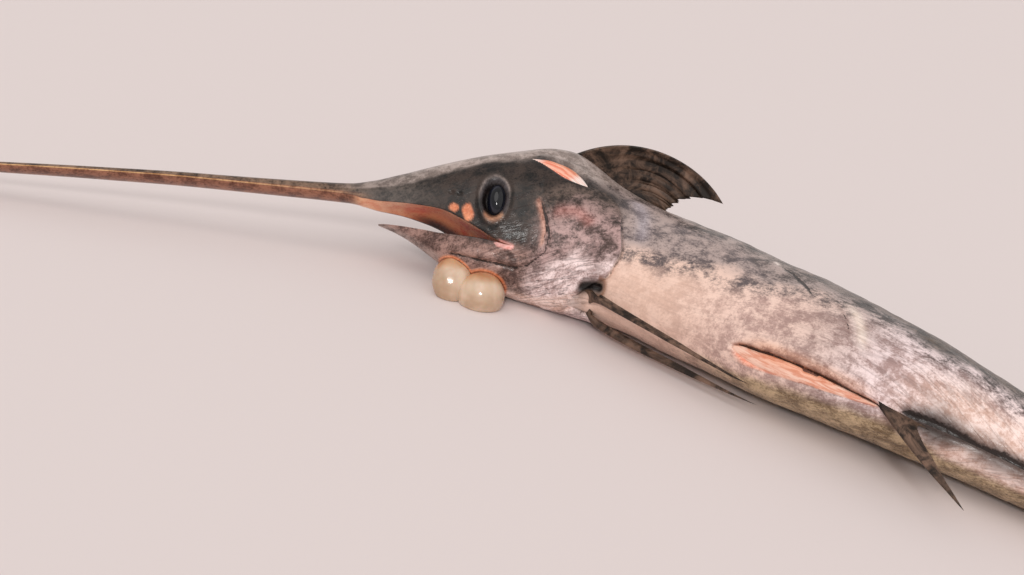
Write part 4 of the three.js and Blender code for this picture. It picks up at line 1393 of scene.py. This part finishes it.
def make_fin(name, node, blade, rays, rows, root_thickness, edge_thickness, ragged, seed):
    """A closed blade: both faces stand off from the middle surface by a thickness that swells a little
    along every ray, and the rays end at uneven lengths, so that the rear edge is ragged."""
    columns = rays * RAY_COLUMNS + 1
    u, v = np.meshgrid(np.linspace(0, 1, columns), np.linspace(0, 1, rows), indexing="ij")
    middle = blade(u, v, ray_lengths(u, rays, ragged, np.random.default_rng(seed)))
    normal = np.cross(np.gradient(middle, axis=0), np.gradient(middle, axis=1))
    normal /= np.linalg.norm(normal, axis=-1, keepdims=True) + NO_LENGTH
    ray = 0.5 + 0.5 * np.cos(2 * np.pi * u * rays)
    half = (root_thickness + (edge_thickness - root_thickness) * v ** THINNING) / 2
    half = half * (1 + RAY_SWELL * (ray - 0.5)) * (1 - THIN_END * ease(*THIN_EDGE, v))
    billow = BILLOW * wander(u * BILLOW_ACROSS, v * BILLOW_OUT, 0, size=60, seed=seed, octaves=2) * v
    middle = middle + normal * billow[..., None]
    piece = slab_piece(name, [middle + normal * half[..., None], middle - normal * half[..., None]])

    foot, worn, behind_front = (0, 0.14), (0.86, 1), (0.05, 0.2)
    flat_u, flat_v = np.tile(u.ravel(), 2), np.tile(v.ravel(), 2)
    paint = Paint(len(flat_u), FIN_SKIN)
    paint.layer((1 - ease(*foot, flat_v)) * 0.8, FIN_FOOT)
    paint.layer(ease(*worn, flat_v) * 0.5 * ease(*behind_front, flat_u), FIN_EDGE)
    paint.store(piece)
    ray_gap, blade_reach = 0.01, 0.1
    flat = np.stack([flat_u * rays * ray_gap, flat_v * blade_reach, np.zeros(len(flat_u))], -1)
    set_vector(piece, "chart", flat)
    give_material(piece, "fin_membrane", fin_membrane)
    dress(piece, "fin", node)


def skin_root(first, last, sink):
    """A root line under the skin, from one pair of station and angle to another."""

    def place(u):
        """The skin's point at a share of the way, sunk along the section's normal."""
        s, angle = (start + (end - start) * u for start, end in zip(first, last))
        return skin_point(s, angle, -sink)

    return place


def tail_root(mirror):
    """The root line of a tail lobe, down the end of the tail stem from its top edge to its middle."""
    top, run = 0.86, 0.84
    height = float(back_height(TAIL_ROOT_STATION))

    def place(u):
        """The point at a share of the way down."""
        return body_point(TAIL_ROOT_STATION, 0.0, mirror * height * (top - run * u), 0.0)

    return place


FINLET_ROOT = 0.03


def make_finlet(side, angle, start, station, length, seed):
    """A small second fin on the tail stem, its root along the back or along the belly."""
    end = start + FINLET_ROOT
    make_fin(
        f"{side}_finlet", f"{side}_fin_second",
        arc_blade(
            skin_root((start, angle), (end, angle), sink=0.006), station=station, lean=angle,
            length=length, shortest=0.014, hollow=1.4, rise=(55, 40), bend=(-30, -20),
        ),
        rays=10, rows=24, root_thickness=0.005, edge_thickness=0.0012, ragged=0.05, seed=seed,
    )


def make_median_fins():
    """The fins on the back and under the belly, with the sizes of the solids."""
    make_fin(
        "dorsal_fin_blade", "dorsal_fin_first",
        arc_blade(
            skin_root((0.204, 0), (0.315, 0), sink=0.014), station=0.235, lean=18.6, length=0.28,
            shortest=0.022, hollow=2.1, rise=(50, 44), bend=(-99, -58),
        ),
        rays=34, rows=60, root_thickness=0.009, edge_thickness=0.0014, ragged=0.06, seed=21,
    )
    make_finlet("dorsal", angle=0, start=0.885, station=0.9, length=0.042, seed=22)
    make_fin(
        "anal_fin_blade", "anal_fin_first",
        arc_blade(
            skin_root((0.58, 164), (0.636, 184), sink=0.012), station=0.61, lean=223, length=0.185,
            shortest=0.013, hollow=2.6, rise=(36, 30), bend=(-11, -10),
        ),
        rays=20, rows=50, root_thickness=0.008, edge_thickness=0.0013, ragged=0.05, seed=23,
    )
    make_finlet("anal", angle=180, start=0.872, station=0.89, length=0.04, seed=24)


def make_paired_fins():
    """The pectoral fins, laid back along the belly, and the two lobes of the tail."""
    for side, blade, seed in (
        ("left", laid_blade(angle=167, root_spread=13, sweep=14, fan=0.012, lift=0.034), 25),
        ("right", laid_blade(angle=199, root_spread=-8, sweep=14, fan=0.01, lift=0.008), 26),
    ):
        make_fin(
            f"pectoral_blade_{side}", f"pectoral_fin_{side}", blade,
            rays=18, rows=60, root_thickness=0.008, edge_thickness=0.0013, ragged=0.03, seed=seed,
        )
    for side, mirror, lean, seed in (("upper", 1, 0, 28), ("lower", -1, 180, 26)):
        make_fin(
            f"tail_lobe_{side}", f"caudal_fin_{side}",
            arc_blade(
                tail_root(mirror), station=TAIL_ROOT_STATION, lean=lean, length=0.285, shortest=0.06,
                hollow=1.7, rise=(50, 6), bend=(16, 2),
            ),
            rays=28, rows=64, root_thickness=0.013, edge_thickness=0.0014, ragged=0.03, seed=seed,
        )


# Eyes and throat
EYE_GRID, THROAT_GRID = (48, 80), (60, 90)
PUPIL_EDGE = (0.6, 0.68)
IRIS_LINE, IRIS_WIDTH = 0.74, 0.05
THROAT_FOLDS, THROAT_FOLD_SIZE = 0.035, 1.6
MEMBRANE_EDGE_START = (0.15, 0.62)


def globe(rows, columns):
    """Two angles on a ball's grid, down from its pole and round it."""
    return np.meshgrid(np.linspace(0, np.pi, rows), np.linspace(0, 2 * np.pi, columns), indexing="ij")


def ball_ways(polar, turn):
    """The ball's own places, from -1 to 1: along, up and out. Out is the cosine of the first angle."""
    return np.sin(polar) * np.cos(turn), np.sin(polar) * np.sin(turn), np.cos(polar)


def make_eye(side, mirror):
    """An eyeball: an ellipsoid on a grid of two angles, its pole looking out from the head's side."""
    along, up, out = ball_ways(*globe(*EYE_GRID))
    middle = float(half_width(EYE_STATION)) - EYE_DEPTH
    points = body_point(
        EYE_STATION, EYE_BALL[0] * along + EYE_SHIFT, EYE_HEIGHT + EYE_BALL[2] * up,
        mirror * (middle + EYE_BALL[1] * out),
    )
    piece, kept = welded_piece(f"eyeball_{side}", points.reshape(-1, 3), grid_faces(*EYE_GRID))
    radius = np.hypot(along, up).ravel()[kept]
    paint = Paint(len(kept), EYE_DARK)
    paint.layer(1 - ease(*PUPIL_EDGE, radius), PUPIL)
    paint.layer(bell(radius - IRIS_LINE, IRIS_WIDTH) * 0.4, EYE_RING)
    paint.store(piece)
    give_material(piece, "wet_eye", wet_eye)
    dress(piece, "eye", f"eye_{side}")


def make_throat():
    """The bared throat: two soft lobes of membrane, each an ellipsoid on a grid of two angles whose size
    wanders a little, which makes shallow folds."""
    ways = ball_ways(*globe(*THROAT_GRID))
    for name, (place, size), seed in zip(("front", "rear"), THROAT_LOBES, (31, 37)):
        folds = 1 + THROAT_FOLDS * wander(*ways, size=THROAT_FOLD_SIZE, seed=seed, octaves=2)
        along, up, out = (middle + half * way * folds for middle, half, way in zip(place, size, ways))
        points = body_point(THROAT_STATION, along, up, out)
        piece, kept = welded_piece(f"throat_lobe_{name}", points.reshape(-1, 3), grid_faces(*THROAT_GRID))
        paint = Paint(len(kept), MEMBRANE)
        paint.layer(ease(*MEMBRANE_EDGE_START, ways[1].ravel()[kept]), MEMBRANE_EDGE)
        paint.store(piece)
        give_material(piece, "wet_membrane", wet_membrane)
        dress(piece, "membrane", "throat")


# Materials


class Nodes:
    """A short way to add shader nodes and join them."""

    def __init__(self, name):
        self.material = bpy.data.materials.new(name)
        self.material.use_nodes = True
        self.tree = self.material.node_tree
        self.shader = next(node for node in self.tree.nodes if node.type == "BSDF_PRINCIPLED")

    def add(self, kind, **values):
        """A new node with its own settings."""
        node = self.tree.nodes.new(kind)
        for key, value in values.items():
            setattr(node, key, value)
        return node

    def feed(self, socket, value):
        """Joins another node's output to a socket, or sets a plain value on it."""
        if isinstance(value, bpy.types.NodeSocket):
            self.tree.links.new(value, socket)
        else:
            socket.default_value = value

    def set(self, **values):
        """Sets the shader's own sockets, named with underscores for spaces."""
        for key, value in values.items():
            self.feed(self.shader.inputs[key.replace("_", " ")], value)

    def attribute(self, name, output):
        """What is stored on the piece's vertices under a name."""
        return self.add("ShaderNodeAttribute", attribute_name=name).outputs[output]

    def place(self):
        """The place on the object, in metres."""
        return self.add("ShaderNodeTexCoord").outputs["Object"]

    def noise(self, vector, scale, detail=4.0, roughness=0.6, distortion=0.0):
        """Noise between 0 and 1, of a number of waves to the metre."""
        node = self.add("ShaderNodeTexNoise")
        self.feed(node.inputs["Vector"], vector)
        self.feed(node.inputs["Scale"], scale)
        self.feed(node.inputs["Detail"], detail)
        self.feed(node.inputs["Roughness"], roughness)
        self.feed(node.inputs["Distortion"], distortion)
        return node.outputs["Fac"]

    def ramp(self, value, low, high, start=0.0, end=1.0):
        """A smooth step of a value between two limits."""
        node = self.add("ShaderNodeMapRange", interpolation_type="SMOOTHSTEP")
        self.feed(node.inputs["Value"], value)
        self.feed(node.inputs["From Min"], low)
        self.feed(node.inputs["From Max"], high)
        self.feed(node.inputs["To Min"], start)
        self.feed(node.inputs["To Max"], end)
        return node.outputs["Result"]

    def scaled(self, vector, x, y, z):
        """A place stretched along each of its axes."""
        node = self.add("ShaderNodeMapping")
        self.feed(node.inputs["Vector"], vector)
        node.inputs["Scale"].default_value = (x, y, z)
        return node.outputs["Vector"]

    def split(self, vector):
        """The three parts of a vector."""
        node = self.add("ShaderNodeSeparateXYZ")
        self.feed(node.inputs["Vector"], vector)
        return node.outputs

    def mix(self, amount, first, second):
        """Two colours mixed by an amount."""
        node = self.add("ShaderNodeMix", data_type="RGBA")
        for key, value in (("Factor_Float", amount), ("A_Color", first), ("B_Color", second)):
            socket = next(item for item in node.inputs if item.identifier == key)
            self.feed(socket, value)
        return next(item for item in node.outputs if item.identifier == "Result_Color")

    def math(self, kind, first, second=0.0):
        """One step of arithmetic."""
        node = self.add("ShaderNodeMath", operation=kind)
        self.feed(node.inputs[0], first)
        self.feed(node.inputs[1], second)
        return node.outputs[0]

    def sum(self, *parts):
        """Values added up, each times its own weight."""
        total = None
        for value, weight in parts:
            share = self.math("MULTIPLY", value, weight)
            total = share if total is None else self.math("ADD", total, share)
        return total

    def bump(self, height, strength, distance):
        """Fine relief for the shader and for its coat."""
        node = self.add("ShaderNodeBump")
        self.feed(node.inputs["Height"], height)
        node.inputs["Strength"].default_value = strength
        node.inputs["Distance"].default_value = distance
        self.feed(self.shader.inputs["Normal"], node.outputs["Normal"])
        self.feed(self.shader.inputs["Coat Normal"], node.outputs["Normal"])

    def tones(self, amount):
        """The painted dark and light tones, mixed by an amount."""
        dark, light = self.attribute("tone_dark", "Color"), self.attribute("tone_light", "Color")
        return self.mix(amount, dark, light)


def give_material(piece, name, build):
    """Gives a piece the material of a name, which is built the first time that it is asked for."""
    material = bpy.data.materials.get(name)
    if not material:
        nodes = Nodes(name)
        build(nodes)
        material = nodes.material
    piece.data.materials.append(material)


def wet_skin(nodes):
    """Wet skin: two painted tones mottled by patches, streaks and specks, dark creases with uneven edges,
    mostly painted shade, and fine wrinkles that run along the body where the skin is slack, with painted
    shade in their furrows."""
    place = nodes.place()
    chart_place = nodes.attribute("chart", "Vector")
    nearness, wrinkled = nodes.split(nodes.attribute("detail", "Vector"))[:2]
    patches = nodes.noise(place, scale=34, detail=8, roughness=0.7, distortion=0.3)
    specks = nodes.noise(place, scale=300, detail=4, roughness=0.75)
    stretched = nodes.scaled(chart_place, x=62, y=120, z=40)
    streaks = nodes.noise(stretched, scale=1.0, detail=6, roughness=0.66, distortion=0.5)
    blend = nodes.sum((patches, 0.56), (streaks, 0.2), (specks, 0.24))
    tint = nodes.tones(nodes.ramp(blend, low=0.42, high=0.58))

    drawn_out = nodes.scaled(chart_place, x=7, y=62, z=30)
    waves = nodes.noise(drawn_out, scale=1.0, detail=3, roughness=0.55, distortion=0.6)
    ridge = nodes.math("ABSOLUTE", nodes.sum((waves, 2.0), (1.0, -1.0)))
    wrinkle = nodes.math("MULTIPLY", nodes.ramp(ridge, low=0.1, high=0.01), wrinkled)
    # Painted shade in the wrinkles' furrows
    tint = nodes.mix(nodes.math("MULTIPLY", wrinkle, 0.42), tint, WRINKLE_SHADE)

    ragged = nodes.noise(place, scale=150, detail=3, roughness=0.6)
    breaks = nodes.noise(place, scale=22, detail=2, roughness=0.5)
    edge = nodes.sum((nearness, 1.0), (ragged, 1.5), (breaks, 1.1), (1.0, -1.3))
    crease = nodes.ramp(edge, low=1.0, high=0.45)
    # Painted shade in the creases, with uneven edges
    tint = nodes.mix(nodes.math("MULTIPLY", crease, 0.9), tint, CREASE_SHADE_AND_LINES)
    nodes.set(Base_Color=tint)
    nodes.set(Roughness=nodes.ramp(specks, low=0.3, high=0.7, start=0.22, end=0.5))
    nodes.set(Specular_IOR_Level=0.26, Coat_Weight=0.2, Coat_Roughness=0.1)
    height = nodes.sum((patches, 0.3), (specks, 0.25), (wrinkle, -0.8), (crease, -1.2))
    nodes.bump(height, strength=0.5, distance=0.0015)


def raw_flesh(nodes):
    """Raw wet flesh: pink and orange fibres."""
    chart_place = nodes.scaled(nodes.attribute("chart", "Vector"), x=34, y=230, z=1)
    fibres = nodes.noise(chart_place, scale=1.0, detail=5, roughness=0.6, distortion=0.6)
    nodes.set(Base_Color=nodes.tones(nodes.ramp(fibres, low=0.38, high=0.6)))
    nodes.set(Roughness=0.3, Coat_Weight=0.4, Coat_Roughness=0.1)
    nodes.bump(fibres, strength=0.6, distance=0.0012)


def fin_membrane(nodes):
    """Dark membrane with worn brown patches and faint streaks along the rays."""
    chart_place = nodes.scaled(nodes.attribute("chart", "Vector"), x=110, y=30, z=1)
    streaks = nodes.noise(chart_place, scale=1.0, detail=6, roughness=0.7, distortion=1.2)
    patches = nodes.noise(nodes.place(), scale=30, detail=7, roughness=0.68, distortion=0.6)
    blend = nodes.sum((streaks, 0.16), (patches, 0.84))
    nodes.set(Base_Color=nodes.tones(nodes.ramp(blend, low=0.42, high=0.64)))
    nodes.set(Roughness=0.5, Specular_IOR_Level=0.25)
    nodes.bump(patches, strength=0.3, distance=0.001)


def wet_eye(nodes):
    """A wet, almost black eye."""
    clouds = nodes.noise(nodes.place(), scale=120, detail=4)
    nodes.set(Base_Color=nodes.tones(nodes.ramp(clouds, low=0.4, high=0.7)))
    nodes.set(Roughness=0.35, Specular_IOR_Level=0.05, Coat_Weight=0.8, Coat_Roughness=0.07)


def wet_membrane(nodes):
    """Smooth wet membrane that lets a little light in."""
    place = nodes.place()
    clouds = nodes.noise(place, scale=20, detail=3, roughness=0.5, distortion=0.2)
    nodes.set(Base_Color=nodes.tones(nodes.ramp(clouds, low=0.3, high=0.7)))
    nodes.set(Roughness=0.22, Coat_Weight=0.3, Subsurface_Weight=0.2, Subsurface_Scale=0.008)
    nodes.bump(nodes.noise(place, scale=60, detail=3), strength=0.2, distance=0.002)


# The stage: floor, light and background


def aimed(place, target):
    """A matrix at a place whose own -Z looks at a target."""
    away = np.array(place, float) - np.array(target, float)
    away /= np.linalg.norm(away)
    side = np.cross([0, 0, 1], away)
    side /= np.linalg.norm(side)
    matrix = np.eye(4)
    matrix[:3, 0], matrix[:3, 1], matrix[:3, 2], matrix[:3, 3] = side, np.cross(away, side), away, place
    return Matrix(matrix.tolist())


def make_stage():
    """A plain pale floor, soft lights and an even pale background."""
    corners = np.array([[-1, -1, 0], [1, -1, 0], [1, 1, 0], [-1, 1, 0]]) * FLOOR_REACH
    floor = link_object("floor", corners, [[0, 1, 2, 3]], smooth=False)
    nodes = Nodes("pale_floor")
    nodes.set(Base_Color=FLOOR_TINT, Roughness=0.75, Specular_IOR_Level=0.2)
    floor.data.materials.append(nodes.material)

    world = bpy.data.worlds.new("pale_background")
    bpy.context.scene.world = world
    world.use_nodes = True
    background = world.node_tree.nodes["Background"]
    background.inputs["Color"].default_value = BACKGROUND_TINT
    background.inputs["Strength"].default_value = BACKGROUND_STRENGTH
    bpy.context.scene.view_settings.view_transform = "Standard"
    for name, place, width, strength, tint in SUNS:
        add_sun(name, aimed(place, (0, 0, 0)), width, strength, tint)


def add_sun(name, matrix, width, strength, tint):
    """A far light, as wide as an angle in radians."""
    data = bpy.data.lights.new(name, "SUN")
    data.energy = strength
    data.color = tint
    data.angle = width
    lamp = bpy.data.objects.new(name, data)
    bpy.context.scene.collection.objects.link(lamp)
    lamp.matrix_world = matrix


make_camera()
make_stage()
make_skin()
make_flesh(
    "slit_flesh", UPPER_SLIT, SLIT_HALF, SLIT_SHAPE, depth=0.0026,
    tones=(PALE_FLESH, BARE_FLESH, CLEAN_FLESH),
)
make_flesh(
    "cut_flesh", BELLY_CUT, CUT_HALF, CUT_SHAPE, depth=0.0035,
    tones=(CUT_TINT, BARE_FLESH, CUT_TINT),
)
for eye_name, eye_mirror in (("left", 1), ("right", -1)):
    make_eye(eye_name, eye_mirror)
make_throat()
make_median_fins()
make_paired_fins()
